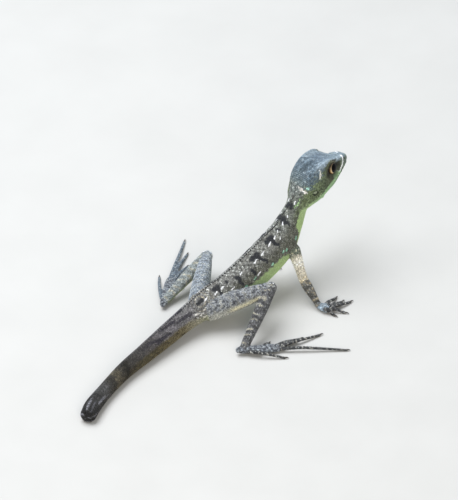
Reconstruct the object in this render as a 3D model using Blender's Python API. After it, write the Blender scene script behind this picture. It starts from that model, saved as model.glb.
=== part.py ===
"""A young green basilisk, life size, standing on its four feet with its head raised.

+X runs forward along the floor, +Y to the animal's left and +Z up. Lengths in the tables are millimetres.
"""

import math

import bmesh
import bpy
import numpy as np
from mathutils import Matrix, Vector

MM = 0.001
GAP = 0.3  # between neighbouring pieces
CENTRE = (-0.7, -0.7)  # floor point, in the tables' own coordinates, that becomes the origin

# The spine from the tail's blunt end to the head: the middle of the body, half its width, its height
# above and below that middle, and how keeled the back is (2 is round, less is sharper).
# Each row is one station.
SPINE = [
    (-86.0, -8.4, 3.5, 3.0, 3.5, 3.6, 1.8),
    (-79.0, -4.9, 3.5, 3.3, 3.7, 3.6, 1.8),
    (-69.0, -1.5, 3.5, 3.1, 3.7, 3.6, 1.7),
    (-53.0, 2.4, 4.0, 3.5, 4.7, 4.1, 1.6),
    (-39.0, 4.0, 4.7, 3.9, 5.6, 4.7, 1.55),
    (-24.0, 5.4, 5.9, 4.4, 6.6, 5.3, 1.5),
    (-11.0, 6.0, 7.7, 4.8, 7.2, 5.7, 1.5),
    (1.0, 5.2, 10.4, 6.0, 8.4, 6.8, 1.45),
    (11.0, 2.8, 13.5, 6.6, 9.3, 8.1, 1.45),
    (22.0, 1.2, 16.6, 7.3, 11.0, 9.7, 1.45),
    (34.0, 1.0, 20.2, 7.6, 11.7, 10.3, 1.45),
    (45.0, 1.4, 24.6, 7.1, 11.4, 9.9, 1.5),
    (51.8, 2.0, 31.0, 5.6, 8.8, 7.5, 1.55),
    (56.6, 2.1, 38.3, 4.5, 6.3, 6.4, 1.7),
    (61.0, 2.9, 44.8, 6.6, 6.5, 9.2, 1.9),
]
HEAD_LENGTH = 28.0
SNOUT = Vector((86.8, 0.9, 50.8))
HEAD_TURN = math.radians(-6.5)
HEAD_PITCH = math.radians(10.0)

# The head's sections: distance back from the snout, height of the crown, then how far out and how high
# the brow, cheek, lips and jaw lie, the height of the throat, and the depth of the line of the mouth.
HEAD = [
    (0.3, 1.1, 0.6, 1.0, 1.1, 0.3, 1.1, -0.5, 0.8, -1.1, -1.3, 0.10),
    (1.8, 2.2, 1.5, 2.1, 2.2, 0.7, 2.3, -0.8, 1.7, -2.1, -2.4, 0.30),
    (4.3, 3.1, 2.5, 3.0, 3.4, 1.0, 3.6, -1.2, 2.9, -3.0, -3.5, 0.40),
    (8.0, 4.3, 3.7, 4.7, 4.7, 1.2, 5.2, -1.9, 4.4, -4.1, -4.8, 0.40),
    (12.0, 7.2, 5.6, 9.2, 6.1, 2.6, 6.7, -2.7, 5.9, -5.2, -5.9, 0.40),
    (15.8, 8.8, 6.0, 10.1, 7.1, 2.9, 7.5, -3.3, 6.8, -5.9, -6.5, 0.40),
    (20.0, 9.3, 5.6, 9.6, 7.9, 2.2, 8.2, -3.9, 7.7, -6.3, -6.8, 0.35),
    (24.0, 8.7, 4.9, 7.8, 8.1, 1.0, 8.1, -4.3, 8.4, -6.6, -7.0, 0.0),
    (28.0, 6.6, 4.1, 5.1, 6.5, 1.0, 6.9, -3.2, 7.2, -6.3, -7.6, 0.0),
    (31.0, 6.0, 3.8, 4.4, 5.8, 0.8, 6.1, -2.7, 5.8, -6.0, -8.0, 0.0),
]
RING_POINTS = 22
BEND_REACH = 0.5  # stations to each side over which a section's lean is taken, so that bends stay open
STUMP_ANGLES = (30, 58, 80)  # degrees round the tail's blunt end
STUMP_REACH = 0.75  # how far that end stands out, in half widths of the tail

# Where the spine is parted, counted in its stations.
TAIL_END_CUT = 2.5
TAIL_MIDDLE_CUT = 4.5
TAIL_BASE_CUT = 6.25
NECK_CUT = 11.6
HEAD_CUT = 13.85

# The low rounded crest on the back of the head: distance back from the snout, its top, half its thickness.
CREST = [(14.0, 8.2, 0.5), (17.5, 10.3, 0.7), (21.0, 11.3, 0.8), (24.5, 10.7, 0.7), (26.6, 8.6, 0.5)]
CREST_ROOT = 3.6  # from its top down to where it is sunk in the head
# Its section: how far below the top, and how far out in half thicknesses.
CREST_FLANK = ((0.6, 1.0), (2.2, 1.7), (CREST_ROOT, 2.2))

EYE_PLACE = (11.6, 3.2, 2.9)  # back from the snout, out from the middle, up
EYE_RADIUS = 3.1
EYE_BACK = 1.3  # the flat inner face of the eyeball, out from the middle
LID_THICKNESS = 0.55
EYE_OPENING = 2.6  # radius of the opening between the lids
LID_FLARE = 1.22  # how much wider the opening grows outwards
EYE_FORWARD = math.radians(14)
EYE_UP = math.radians(8)
NOSTRIL_PLACE = (2.6, 2.15, 1.5)
NOSTRIL_RADIUS = 0.42
NOSTRIL_DEPTH = 0.5
EAR_PLACE = (24.4, 8.0, -1.0)
EAR_RADIUS = 1.5
EAR_DEPTH = 0.55
EAR_FLARE = 1.2  # its mouth, as a share of its floor

SERRATION_SPACING = 2.1
SERRATION_HEIGHT = 0.95
SERRATION_HALF_LENGTH = 1.0
SERRATION_HALF_WIDTH = 0.42
SERRATION_SUNK = 0.7
SERRATION_LEAN = 0.5  # of its tip towards the tail
SERRATION_START = 1.2  # stations from the tail's end, which carries none
SERRATION_LEAST = 0.45  # height of the smallest, as a share of a full one
SERRATION_GROWTH = 5.0  # stations over which they reach full height
SERRATION_ASIDE = 0.07  # each stands a little to one side of the middle

# Joints of the limbs, and where each digit ends on the floor, from the inner digit to the outer one.
# The right side is -1 and the left side 1.
ARMS = {
    -1: {
        "shoulder": (47.9, -4.9, 21.4),
        "elbow": (45.4, -13.4, 10.8),
        "wrist": (44.2, -24.5, 2.6),
        "palm": (46.1, -28.2, 1.5),
        "digits": [(55.1, -24.5), (55.4, -28.3), (57.9, -31.0), (50.6, -35.0), (45.8, -33.0)],
    },
    1: {
        "shoulder": (46.5, 6.0, 20.7),
        "elbow": (37.1, 12.9, 13.5),
        "wrist": (45.6, 17.3, 2.6),
        "palm": (48.8, 15.9, 1.5),
        "digits": [(47.9, 11.2), (52.4, 9.4), (56.2, 12.0), (58.4, 16.2), (56.4, 21.0)],
    },
}
LEGS = {
    -1: {
        "hip": (0.2, 1.4, 9.4),
        "knee": (22.9, -15.3, 19.6),
        "ankle": (-2.7, -23.1, 2.5),
        "ball": (10.4, -32.4, 1.5),
        "digits": [(10.6, -26.4), (23.0, -34.0), (31.2, -38.2), (31.8, -54.4), (8.3, -38.8)],
    },
    1: {
        "hip": (0.9, 9.7, 9.4),
        "knee": (25.9, 28.4, 11.7),
        "ankle": (-3.0, 26.9, 2.5),
        "ball": (11.6, 36.6, 1.5),
        "digits": [(10.4, 29.8), (23.8, 39.2), (30.3, 45.6), (36.2, 53.2), (9.6, 42.6)],
    },
}
# Radii along each limb piece, from its upper end to its lower one.
UPPER_ARM_RADII = (3.0, 2.7, 2.3, 2.15)
FOREARM_RADII = (2.15, 2.25, 1.75, 1.35)
THIGH_RADII = (5.1, 4.9, 4.0, 2.75)
THIGH_FLATNESS = 0.8  # its width over its height
SHANK_RADII = (2.7, 2.9, 2.45, 1.85)
ROOT_SHARE = 0.33  # of the upper arm or thigh, which stays with the torso
PALM_HALF_WIDTH = 2.6
SOLE_HALF_WIDTH = 2.7
PAD_HALF_HEIGHT = 1.35
FINGER_RADIUS = 0.88
TOE_RADIUS = 0.85
TIP_SHARE = 0.72  # of a digit's radius, at its end
KNUCKLE_LIFT = 0.9
DIGIT_FLATNESS = 0.9  # its height over its width
CLAW_LENGTH = 1.8
CLAW_RADIUS = 0.45
CLAW_FLATNESS = 0.8  # its width over its height
# Along a digit: the share of its length, the share of the lift, and its size.
DIGIT = ((0, 0.2, 1.05), (0.35, 1.0, 1.0), (0.7, 0.55, 0.85), (1, 0, TIP_SHARE))
# Along a claw: the share of its length, its rise in millimetres, and its size.
CLAW = ((-0.3, 0.0, 1.0), (0.35, 0.25, 0.8), (0.75, 0.1, 0.5), (1.0, -0.28, 0.16))
# Along a palm or sole: the share of its length, and its width and height as shares of the full ones.
PAD = ((-0.12, 0.55, 1.1), (0.3, 0.75, 1.1), (0.75, 0.98, 1.0), (1.0, 0.9, 0.92))
# Where each digit leaves the palm or sole: how far along it, and how far across in half widths.
HAND_ROOTS = ((0.55, 0.62), (0.95, 0.45), (1.05, 0.05), (0.95, -0.4), (0.6, -0.62))
FOOT_ROOTS = ((0.6, 0.6), (0.93, 0.48), (1.03, 0.1), (0.97, -0.37), (0.12, -0.62))
# How far each digit bows to the side.
FINGER_BOWS = (0.3, 0.5, 0.6, -0.5, -0.3)
TOE_BOWS = (0.3, 0.2, 0.3, -0.2, 0.4)

UPPER_SIDES = 14
LOWER_SIDES = 12
DIGIT_SIDES = 8
CLAW_SIDES = 6
DOME_ANGLES = (35, 68)  # degrees round a limb piece's domed end

COLOURS = {
    "head": (0.158, 0.174, 0.150),
    "neck": (0.150, 0.154, 0.112),
    "torso": (0.150, 0.138, 0.098),
    "tail_base": (0.138, 0.118, 0.084),
    "tail_middle": (0.130, 0.108, 0.076),
    "tail_end": (0.052, 0.046, 0.040),
    "eye": (0.230, 0.105, 0.028),
    "upper_arm": (0.262, 0.226, 0.152),
    "forearm": (0.115, 0.110, 0.088),
    "hand": (0.165, 0.172, 0.176),
    "thigh": (0.148, 0.138, 0.092),
    "shank": (0.170, 0.160, 0.122),
    "foot": (0.120, 0.118, 0.110),
}

for old in list(bpy.data.objects):
    bpy.data.objects.remove(old, do_unlink=True)


def metres(x, y, z):
    return Vector((x - CENTRE[0], y - CENTRE[1], z)) * MM


def row_at(rows, u):
    """A smooth curve through the rows, read at u rows from the first."""
    rows = np.array(rows, float)
    i = min(max(int(u), 0), len(rows) - 2)
    t = u - i
    before = rows[i - 1] if i > 0 else 2 * rows[0] - rows[1]
    after = rows[i + 2] if i + 2 < len(rows) else 2 * rows[-1] - rows[-2]
    start = rows[i]
    end = rows[i + 1]
    bend = 2 * before - 5 * start + 4 * end - after
    twist = 3 * start - before - 3 * end + after
    return 0.5 * (2 * start + (end - before) * t + bend * t * t + twist * t**3)


def frame_along(direction):
    """Left and up directions square to a forward one."""
    left = Vector((0, 0, 1)).cross(direction).normalized()
    return left, direction.cross(left).normalized()


def object_of(name, bm):
    bmesh.ops.recalc_face_normals(bm, faces=bm.faces)
    mesh = bpy.data.meshes.new(name)
    bm.to_mesh(mesh)
    bm.free()
    piece = bpy.data.objects.new(name, mesh)
    bpy.context.scene.collection.objects.link(piece)
    return piece


def loft(name, rings):
    """A closed tube: the first ring's disc is extruded from ring to ring."""
    bm = bmesh.new()
    bmesh.ops.create_circle(bm, cap_ends=True, segments=len(rings[0]), radius=MM)
    bm.verts.ensure_lookup_table()
    start = list(bm.verts)
    bm.faces.ensure_lookup_table()
    face = bm.faces[0]
    for corner, place in zip(start, rings[0]):
        corner.co = place
    corners = start
    for ring in rings[1:]:
        made = bmesh.ops.extrude_face_region(bm, geom=[face])
        lifted = [item for item in made["geom"] if isinstance(item, bmesh.types.BMFace)][0]
        if face.is_valid:
            bmesh.ops.delete(bm, geom=[face], context="FACES_ONLY")
        edges_up = {}
        new_corners = set(lifted.verts)
        for corner in corners:
            for edge in corner.link_edges:
                other = edge.other_vert(corner)
                if other in new_corners:
                    edges_up[corner] = other
        corners = [edges_up[corner] for corner in corners]
        for corner, place in zip(corners, ring):
            corner.co = place
        face = lifted
    bmesh.ops.contextual_create(bm, geom=start)
    return object_of(name, bm)


def oval(middle, left, up, half_width, above, below, count, roof=2.0):
    """A ring of points, from the top round by the left. A roof under 2 makes the top more of a ridge."""
    ring = []
    for i in range(count):
        angle = math.pi / 2 - 2 * math.pi * i / count
        across = math.cos(angle)
        rise = math.sin(angle)
        power = 2 / roof if rise > 0 else 1.0
        side = math.copysign(abs(across) ** power, across) * half_width
        height = math.copysign(abs(rise) ** power, rise) * (above if rise > 0 else below)
        ring.append(metres(*(middle + left * side + up * height)))
    return ring


def tube(name, rows, count, steps, rounded=(True, True)):
    """A smooth limb through rows of a place and a half width and height, with domed or flat ends."""
    spans = [i / steps for i in range(steps * (len(rows) - 1) + 1)]
    rings = []
    for u in spans:
        row = row_at(rows, u)
        ahead = row_at(rows, min(u + 0.05, len(rows) - 1))
        behind = row_at(rows, max(u - 0.05, 0))
        direction = Vector(ahead[:3] - behind[:3]).normalized()
        left, up = frame_along(direction)
        rings.append((Vector(row[:3]), direction, left, up, row[3], row[4]))
    shapes = [oval(m, left, up, w, h, h, count) for m, _, left, up, w, h in rings]
    for end, sign, ring in ((0, -1, rings[0]), (1, 1, rings[-1])):
        if not rounded[end]:
            continue
        middle, direction, left, up, width, height = ring
        for angle in DOME_ANGLES:
            shrink = math.cos(math.radians(angle))
            place = middle + direction * sign * math.sin(math.radians(angle)) * min(width, height)
            dome = oval(place, left, up, width * shrink, height * shrink, height * shrink, count)
            if end:
                shapes.append(dome)
            else:
                shapes.insert(0, dome)
    return loft(name, shapes)


def applied(piece):
    """The piece's mesh as its modifiers leave it."""
    bpy.context.view_layer.update()
    evaluated = piece.evaluated_get(bpy.context.evaluated_depsgraph_get())
    mesh = bpy.data.meshes.new_from_object(evaluated)
    piece.modifiers.clear()
    piece.data = mesh
    return piece


def combine(piece, others, operation):
    """Joins the other closed meshes to the piece, or cuts them out of it, and removes them."""
    if not others:
        return piece
    group = bpy.data.collections.new(piece.name + "_group")
    bpy.context.scene.collection.children.link(group)
    for other in others:
        bpy.context.scene.collection.objects.unlink(other)
        group.objects.link(other)
    modifier = piece.modifiers.new("combine", "BOOLEAN")
    modifier.operation = operation
    modifier.operand_type = "COLLECTION"
    modifier.collection = group
    modifier.solver = "EXACT"
    applied(piece)
    for other in others:
        bpy.data.objects.remove(other, do_unlink=True)
    bpy.data.collections.remove(group)
    return piece


def trimmed(piece, point, normal):
    """Takes away what lies beyond a plane, and closes the cut."""
    bm = bmesh.new()
    bm.from_mesh(piece.data)
    geometry = bm.verts[:] + bm.edges[:] + bm.faces[:]
    bmesh.ops.bisect_plane(bm, geom=geometry, dist=1e-7, plane_co=point, plane_no=normal, clear_outer=True)
    bmesh.ops.holes_fill(bm, edges=[edge for edge in bm.edges if edge.is_boundary])
    bmesh.ops.recalc_face_normals(bm, faces=bm.faces)
    bm.to_mesh(piece.data)
    bm.free()
    return piece


def largest(piece):
    """Keeps the largest closed surface of a mesh."""
    bm = bmesh.new()
    bm.from_mesh(piece.data)
    left_over = set(bm.verts)
    islands = []
    while left_over:
        island = []
        stack = [left_over.pop()]
        while stack:
            corner = stack.pop()
            island.append(corner)
            for edge in corner.link_edges:
                other = edge.other_vert(corner)
                if other in left_over:
                    left_over.remove(other)
                    stack.append(other)
        islands.append(island)
    islands.sort(key=len)
    for island in islands[:-1]:
        bmesh.ops.delete(bm, geom=island, context="VERTS")
    bmesh.ops.dissolve_degenerate(bm, dist=1e-6, edges=bm.edges)
    bmesh.ops.triangulate(bm, faces=bm.faces)
    bm.to_mesh(piece.data)
    bm.free()
    return piece


def on_floor(piece):
    """Cuts the piece level with the floor, which leaves the flats that it rests on."""
    return trimmed(piece, Vector((0, 0, 0)), Vector((0, 0, -1)))


def finished(piece, name, kind):
    """Names a node and gives it its own material."""
    largest(piece)
    piece.name = name
    piece.data.name = name
    material = bpy.data.materials.new(name)
    material.use_nodes = True
    shader = material.node_tree.nodes["Principled BSDF"]
    shader.inputs["Base Color"].default_value = (*COLOURS[kind], 1)
    shader.inputs["Roughness"].default_value = 0.12 if kind == "eye" else 0.62
    shader.inputs["Metallic"].default_value = 0.0
    piece.data.materials.clear()
    piece.data.materials.append(material)
    piece.data.shade_smooth()
    piece.data.set_sharp_from_angle(angle=math.radians(50))
    return piece


# The line of the spine, which runs straight through the head.
FORWARD = Vector(
    (
        math.cos(HEAD_PITCH) * math.cos(HEAD_TURN),
        math.cos(HEAD_PITCH) * math.sin(HEAD_TURN),
        math.sin(HEAD_PITCH),
    )
)
LEFT, UP = frame_along(FORWARD)
HEAD_STATIONS = 4
STEP_BACK = HEAD_LENGTH / HEAD_STATIONS
LINE = [row[:3] for row in SPINE] + [
    tuple(SNOUT - FORWARD * (HEAD_LENGTH - STEP_BACK * k)) for k in range(1, HEAD_STATIONS + 1)
]
HEAD_START = len(SPINE) - 1


def spine_frame(u):
    """The middle of the spine at u stations from the tail's end, and the forward, left and up directions."""
    middle = Vector(row_at(LINE, u))
    last = len(LINE) - 1
    ahead = Vector(row_at(LINE, min(u + BEND_REACH, last)))
    behind = Vector(row_at(LINE, max(u - BEND_REACH, 0)))
    direction = (ahead - behind).normalized()
    return (middle, direction, *frame_along(direction))


def body_ring(u):
    """The section of the tail, torso or neck at u stations."""
    middle, _, left, up = spine_frame(u)
    row = row_at(SPINE, min(u, HEAD_START))
    return oval(middle, left, up, row[3], row[4], row[5], RING_POINTS, row[6])


def head_outline(back):
    """Half of a section, from the crown down to the throat, as distances out and up."""
    stations = [row[0] for row in HEAD]
    k = max(i for i, station in enumerate(stations) if station <= back + 1e-9)
    k = min(k, len(HEAD) - 2)
    u = k + (back - stations[k]) / (stations[k + 1] - stations[k])
    _, crown, brow, brow_up, cheek, cheek_up, lip, lip_up, jaw, jaw_up, throat, groove = row_at(HEAD, u)
    lip_half = 0.42 if groove > 0.02 else 0.7
    return [
        (0.0, crown),
        (brow * 0.55, crown * 0.55 + brow_up * 0.45),
        (brow, brow_up),
        (brow * 0.4 + cheek * 0.62, brow_up * 0.55 + cheek_up * 0.45),
        (cheek, cheek_up),
        (lip, lip_up + lip_half),
        (lip - max(groove, 0.0), lip_up),
        (lip * 0.985 - 0.05, lip_up - lip_half),
        (jaw * 0.6 + lip * 0.4, jaw_up * 0.7 + lip_up * 0.3),
        (jaw * 0.86, jaw_up),
        (jaw * 0.5, throat * 0.97),
        (0.0, throat),
    ]


def head_point(back, out, up):
    """A point of the head: back from the snout, to the animal's left, and up."""
    return SNOUT - FORWARD * back + LEFT * out + UP * up


def head_ring(u):
    """The section of the head at u stations."""
    middle, _, left, up = spine_frame(u)
    back = HEAD_LENGTH - (u - HEAD_START) * STEP_BACK
    half = head_outline(max(back, HEAD[0][0]))
    points = half + [(-out, rise) for out, rise in reversed(half[1:-1])]
    return [metres(*(middle + left * out + up * rise)) for out, rise in points]


def spread(start, end, count):
    """Values from start to end, evenly apart."""
    return [start + (end - start) * i / (count - 1) for i in range(count)]


def station_gap(u):
    """Half a gap, counted in stations of the spine."""
    length = (Vector(row_at(LINE, u + 0.05)) - Vector(row_at(LINE, u - 0.05))).length / 0.1
    return GAP / 2 / length


def back_line(u):
    """The middle of the back, above the spine."""
    middle, _, _, up = spine_frame(u)
    return middle + up * row_at(SPINE, min(u, HEAD_START))[4]


def serrations(start, end):
    """Small upright scales along the middle of the back, leaning towards the tail."""
    pieces = []
    travelled = 0.0
    wanted = SERRATION_SPACING / 2
    step = 0.01
    u = start
    while u < end:
        travelled += (back_line(u + step) - back_line(u)).length
        u += step
        if travelled < wanted:
            continue
        wanted += SERRATION_SPACING
        middle, direction, left, up = spine_frame(u)
        row = row_at(SPINE, min(u, HEAD_START))
        fade = min(1.0, max(SERRATION_LEAST, (u - 1.0) / SERRATION_GROWTH))
        number = len(pieces)
        height = SERRATION_HEIGHT * fade * (1 + 0.12 * math.sin(2.3 * number))
        bm = bmesh.new()
        bmesh.ops.create_cone(
            bm,
            cap_ends=True,
            segments=4,
            radius1=MM,
            radius2=0,
            depth=(height + SERRATION_SUNK) * MM,
        )
        half_length = SERRATION_HALF_LENGTH * (0.6 + 0.4 * fade)
        bmesh.ops.scale(bm, vec=(half_length, SERRATION_HALF_WIDTH, 1), verts=bm.verts)
        for corner in bm.verts:
            if corner.co.z > 0:
                corner.co.x -= SERRATION_LEAN * MM
        turn = Matrix((direction, up.cross(direction), up)).transposed().to_4x4()
        aside = SERRATION_ASIDE * math.sin(1.7 * number + 0.5)
        top = middle + up * (row[4] + (height - SERRATION_SUNK) / 2) + left * aside
        bmesh.ops.transform(bm, matrix=Matrix.Translation(metres(*top)) @ turn, verts=bm.verts)
        pieces.append(object_of("serration", bm))
    return pieces


def ball(name, place, radius, segments=20, rings=12):
    bm = bmesh.new()
    there = Matrix.Translation(metres(*place))
    bmesh.ops.create_uvsphere(bm, u_segments=segments, v_segments=rings, radius=radius * MM, matrix=there)
    return object_of(name, bm)


def rod(name, start, end, start_radius, end_radius, segments=14):
    """A round bar or cone between two places."""
    start = metres(*start)
    end = metres(*end)
    along = end - start
    turn = along.to_track_quat("Z", "Y").to_matrix().to_4x4()
    bm = bmesh.new()
    bmesh.ops.create_cone(
        bm,
        cap_ends=True,
        segments=segments,
        radius1=start_radius * MM,
        radius2=end_radius * MM,
        depth=along.length,
        matrix=Matrix.Translation((start + end) / 2) @ turn,
    )
    return object_of(name, bm)


# Tail, in three lengths, then the neck.
def spine_piece(name, start, end, rings, blunt=False):
    """A length of the body between two stations, with half a gap at each cut and its upright scales."""
    first = start if blunt else start + station_gap(start)
    last = end - station_gap(end)
    shapes = [body_ring(u) for u in spread(first, last, rings)]
    if blunt:
        middle, direction, left, up = spine_frame(0)
        row = SPINE[0]
        for angle in STUMP_ANGLES:
            width, above, below = [size * math.cos(math.radians(angle)) for size in row[3:6]]
            place = middle - direction * math.sin(math.radians(angle)) * row[3] * STUMP_REACH
            shapes.insert(0, oval(place, left, up, width, above, below, RING_POINTS))
    body = loft(name, shapes)
    return combine(body, serrations(max(first, SERRATION_START), last - 0.05), "UNION")


tail_end = on_floor(spine_piece("tail_end", 0, TAIL_END_CUT, 12, blunt=True))
finished(tail_end, "tail_end", "tail_end")
tail_middle = on_floor(spine_piece("tail_middle", TAIL_END_CUT, TAIL_MIDDLE_CUT, 8))
finished(tail_middle, "tail_middle", "tail_middle")
tail_base = on_floor(spine_piece("tail_base", TAIL_MIDDLE_CUT, TAIL_BASE_CUT, 8))
finished(tail_base, "tail_base", "tail_base")
neck = spine_piece("neck", NECK_CUT, HEAD_CUT, 9)
finished(neck, "neck", "neck")


# Head, with its crest, lids, eye sockets, nostrils, ears and the line of the mouth.
def crest_piece():
    rings = []
    for k in spread(0, len(CREST) - 1, 9):
        back, top, half = row_at(CREST, k)
        flank = [(out * half, top - drop) for drop, out in CREST_FLANK]
        section = [(0.0, top)] + flank + [(-out, rise) for out, rise in reversed(flank)]
        rings.append([metres(*head_point(back, out, rise)) for out, rise in section])
    return loft("crest", rings)


def eye_axis(side):
    """The way an eye looks: out, a little forward and a little up."""
    flat = LEFT * side * math.cos(EYE_FORWARD) + FORWARD * math.sin(EYE_FORWARD)
    return (flat * math.cos(EYE_UP) + UP * math.sin(EYE_UP)).normalized()


head_rings = [head_ring(u) for u in spread(HEAD_CUT + station_gap(HEAD_CUT), len(LINE) - 1.012, 22)]
head = loft("head", head_rings)
extra = [crest_piece()]
cuts = []
lid_radius = EYE_RADIUS + GAP + LID_THICKNESS
for side in (1, -1):
    centre = head_point(EYE_PLACE[0], side * EYE_PLACE[1], EYE_PLACE[2])
    axis = eye_axis(side)
    extra.append(ball("lid", centre, lid_radius))
    inner = metres(*head_point(0, side * (EYE_BACK - GAP), 0))
    cuts.append(trimmed(ball("socket", centre, EYE_RADIUS + GAP), inner, -LEFT * side))
    inside = centre + axis * EYE_RADIUS * 0.4
    outside = centre + axis * (lid_radius + 1)
    cuts.append(rod("opening", inside, outside, EYE_OPENING, EYE_OPENING * LID_FLARE, 18))
    nostril = head_point(NOSTRIL_PLACE[0], side * NOSTRIL_PLACE[1], NOSTRIL_PLACE[2])
    outward = (LEFT * side + UP * 0.5 + FORWARD * 0.3).normalized()
    bottom = nostril - outward * NOSTRIL_DEPTH
    cuts.append(rod("nostril", bottom, nostril + outward, NOSTRIL_RADIUS, NOSTRIL_RADIUS, 8))
    ear = head_point(EAR_PLACE[0], side * EAR_PLACE[1], EAR_PLACE[2])
    outward = (LEFT * side + UP * 0.15).normalized()
    mouth = ear + outward * EAR_RADIUS
    cuts.append(rod("ear", ear - outward * EAR_DEPTH, mouth, EAR_RADIUS, EAR_RADIUS * EAR_FLARE, 12))
combine(head, extra, "UNION")
combine(head, cuts, "DIFFERENCE")
finished(head, "head", "head")
for side, word in ((1, "left"), (-1, "right")):
    centre = head_point(EYE_PLACE[0], side * EYE_PLACE[1], EYE_PLACE[2])
    eye = ball("eye_" + word, centre, EYE_RADIUS)
    trimmed(eye, metres(*head_point(0, side * EYE_BACK, 0)), -LEFT * side)
    finished(eye, "eye_" + word, "eye")


# Limbs. Each upper piece starts inside the torso, which keeps a stub of it and is cut clear of the rest.
def limb_rows(start, end, radii, flatten=1.0, first=0.0, grow=0.0):
    """Rows of a limb piece from a share of its length on, with each radius enlarged by grow."""
    rows = []
    last = len(radii) - 1
    for k in range(last + 1):
        share = first + (1 - first) * k / last
        place = start.lerp(end, share)
        radius = row_at([(r,) for r in radii], share * last)[0]
        rows.append((*place, radius * flatten + grow, radius + grow))
    return rows


def bend_plane(upper, joint, lower):
    """The plane that halves the angle at a joint, with its normal towards the lower piece."""
    before = (joint - upper).normalized()
    after = (lower - joint).normalized()
    return metres(*joint), (before + after).normalized()


def digit(base, tip, radius, bow):
    """A finger or toe that arches over its knuckles, and the curved claw at its end."""
    tip = Vector((*tip, radius * TIP_SHARE * DIGIT_FLATNESS))
    along = tip - base
    across = Vector((-along.y, along.x, 0)).normalized()
    rows = []
    for share, lift, size in DIGIT:
        place = base.lerp(tip, share) + Vector((0, 0, KNUCKLE_LIFT * lift))
        place += across * bow * math.sin(math.pi * share)
        rows.append((*place, radius * size, radius * size * DIGIT_FLATNESS))
    ahead = Vector((rows[-1][0] - rows[-2][0], rows[-1][1] - rows[-2][1], 0)).normalized()
    claw = []
    for share, rise, size in CLAW:
        place = tip + ahead * CLAW_LENGTH * share + Vector((0, 0, rise))
        claw.append((*place, CLAW_RADIUS * size * CLAW_FLATNESS, CLAW_RADIUS * size))
    return [tube("digit", rows, DIGIT_SIDES, 2), tube("claw", claw, CLAW_SIDES, 1, (False, False))]


def pad(name, start, end, half_width):
    """The palm or sole, flat and widening to where the digits leave it."""
    rows = []
    for share, width, height in PAD:
        rows.append((*start.lerp(end, share), half_width * width, PAD_HALF_HEIGHT * height))
    return tube(name, rows, LOWER_SIDES, 2)


def digit_bases(start, end, half_width, roots):
    """Where the digits leave the pad, inner digit first."""
    along = (end - start).normalized()
    inner = Vector((-along.y, along.x, 0)).normalized()
    return [start.lerp(end, far) + inner * half_width * out for far, out in roots]


def upper_limb(name, joints, radii, flatness):
    """Makes the piece from the torso to the bend. Returns its stub in the torso, and the room around it."""
    root, bend, end = joints[:3]
    stub = tube("stub", limb_rows(root, bend, radii, flatness)[:2], UPPER_SIDES, 3)
    rows = limb_rows(root, bend, radii, flatness, ROOT_SHARE)
    piece = tube(name, rows, UPPER_SIDES, 2, (False, True))
    point, normal = bend_plane(root, bend, end)
    trimmed(piece, point - normal * GAP / 2 * MM, normal)
    finished(piece, name + SIDE_NAMES[side], name)
    wider = limb_rows(root, bend, radii, flatness, ROOT_SHARE, GAP)
    start = Vector(wider[0][:3]) - (bend - root).normalized() * GAP
    wider[0] = (*start, *wider[0][3:])
    return stub, tube("room", wider, UPPER_SIDES, 2, (False, True))


def lower_limb(name, joints, radii):
    """Makes the piece from the bend to the wrist or ankle."""
    root, bend, end, pad_end = joints
    piece = tube(name, limb_rows(bend, end, radii), LOWER_SIDES, 2)
    point, normal = bend_plane(root, bend, end)
    trimmed(piece, point + normal * GAP / 2 * MM, -normal)
    point, normal = bend_plane(bend, end, pad_end)
    trimmed(piece, point - normal * GAP / 2 * MM, normal)
    finished(on_floor(piece), name + SIDE_NAMES[side], name)


def hand_or_foot(name, joints, tips, wrist_radius, half_width, radius, roots, bows):
    """Makes the palm or sole with its digits and claws."""
    bend, end, pad_end = joints[1:]
    piece = pad(name, end, pad_end, half_width)
    others = [ball("wrist", end, wrist_radius, 12, 8)]
    bases = digit_bases(end, pad_end, half_width * -side, roots)
    for base, tip, bow in zip(bases, tips, bows):
        others += digit(base, tip, radius, bow * side)
    combine(piece, others, "UNION")
    point, normal = bend_plane(bend, end, pad_end)
    trimmed(piece, point + normal * GAP / 2 * MM, -normal)
    finished(on_floor(piece), name + SIDE_NAMES[side], name)


SIDE_NAMES = {-1: "_right", 1: "_left"}
stubs = []
rooms = []
for side in (-1, 1):
    arm = ARMS[side]
    joints = [Vector(arm[key]) for key in ("shoulder", "elbow", "wrist", "palm")]
    stub, room = upper_limb("upper_arm", joints, UPPER_ARM_RADII, 1.0)
    stubs.append(stub)
    rooms.append(room)
    lower_limb("forearm", joints, FOREARM_RADII)
    hand = (PALM_HALF_WIDTH, FINGER_RADIUS, HAND_ROOTS, FINGER_BOWS)
    hand_or_foot("hand", joints, arm["digits"], FOREARM_RADII[-1], *hand)
    leg = LEGS[side]
    joints = [Vector(leg[key]) for key in ("hip", "knee", "ankle", "ball")]
    stub, room = upper_limb("thigh", joints, THIGH_RADII, THIGH_FLATNESS)
    stubs.append(stub)
    rooms.append(room)
    lower_limb("shank", joints, SHANK_RADII)
    foot = (SOLE_HALF_WIDTH, TOE_RADIUS, FOOT_ROOTS, TOE_BOWS)
    hand_or_foot("foot", joints, leg["digits"], SHANK_RADII[-1], *foot)

torso = spine_piece("torso", TAIL_BASE_CUT, NECK_CUT, 18)
combine(torso, stubs, "UNION")
combine(torso, rooms, "DIFFERENCE")
finished(torso, "torso", "torso")
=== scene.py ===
import itertools
import math

import bmesh
import bpy
import numpy as np
from mathutils import Matrix, Vector
from mathutils.bvhtree import BVHTree
from mathutils.kdtree import KDTree


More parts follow.
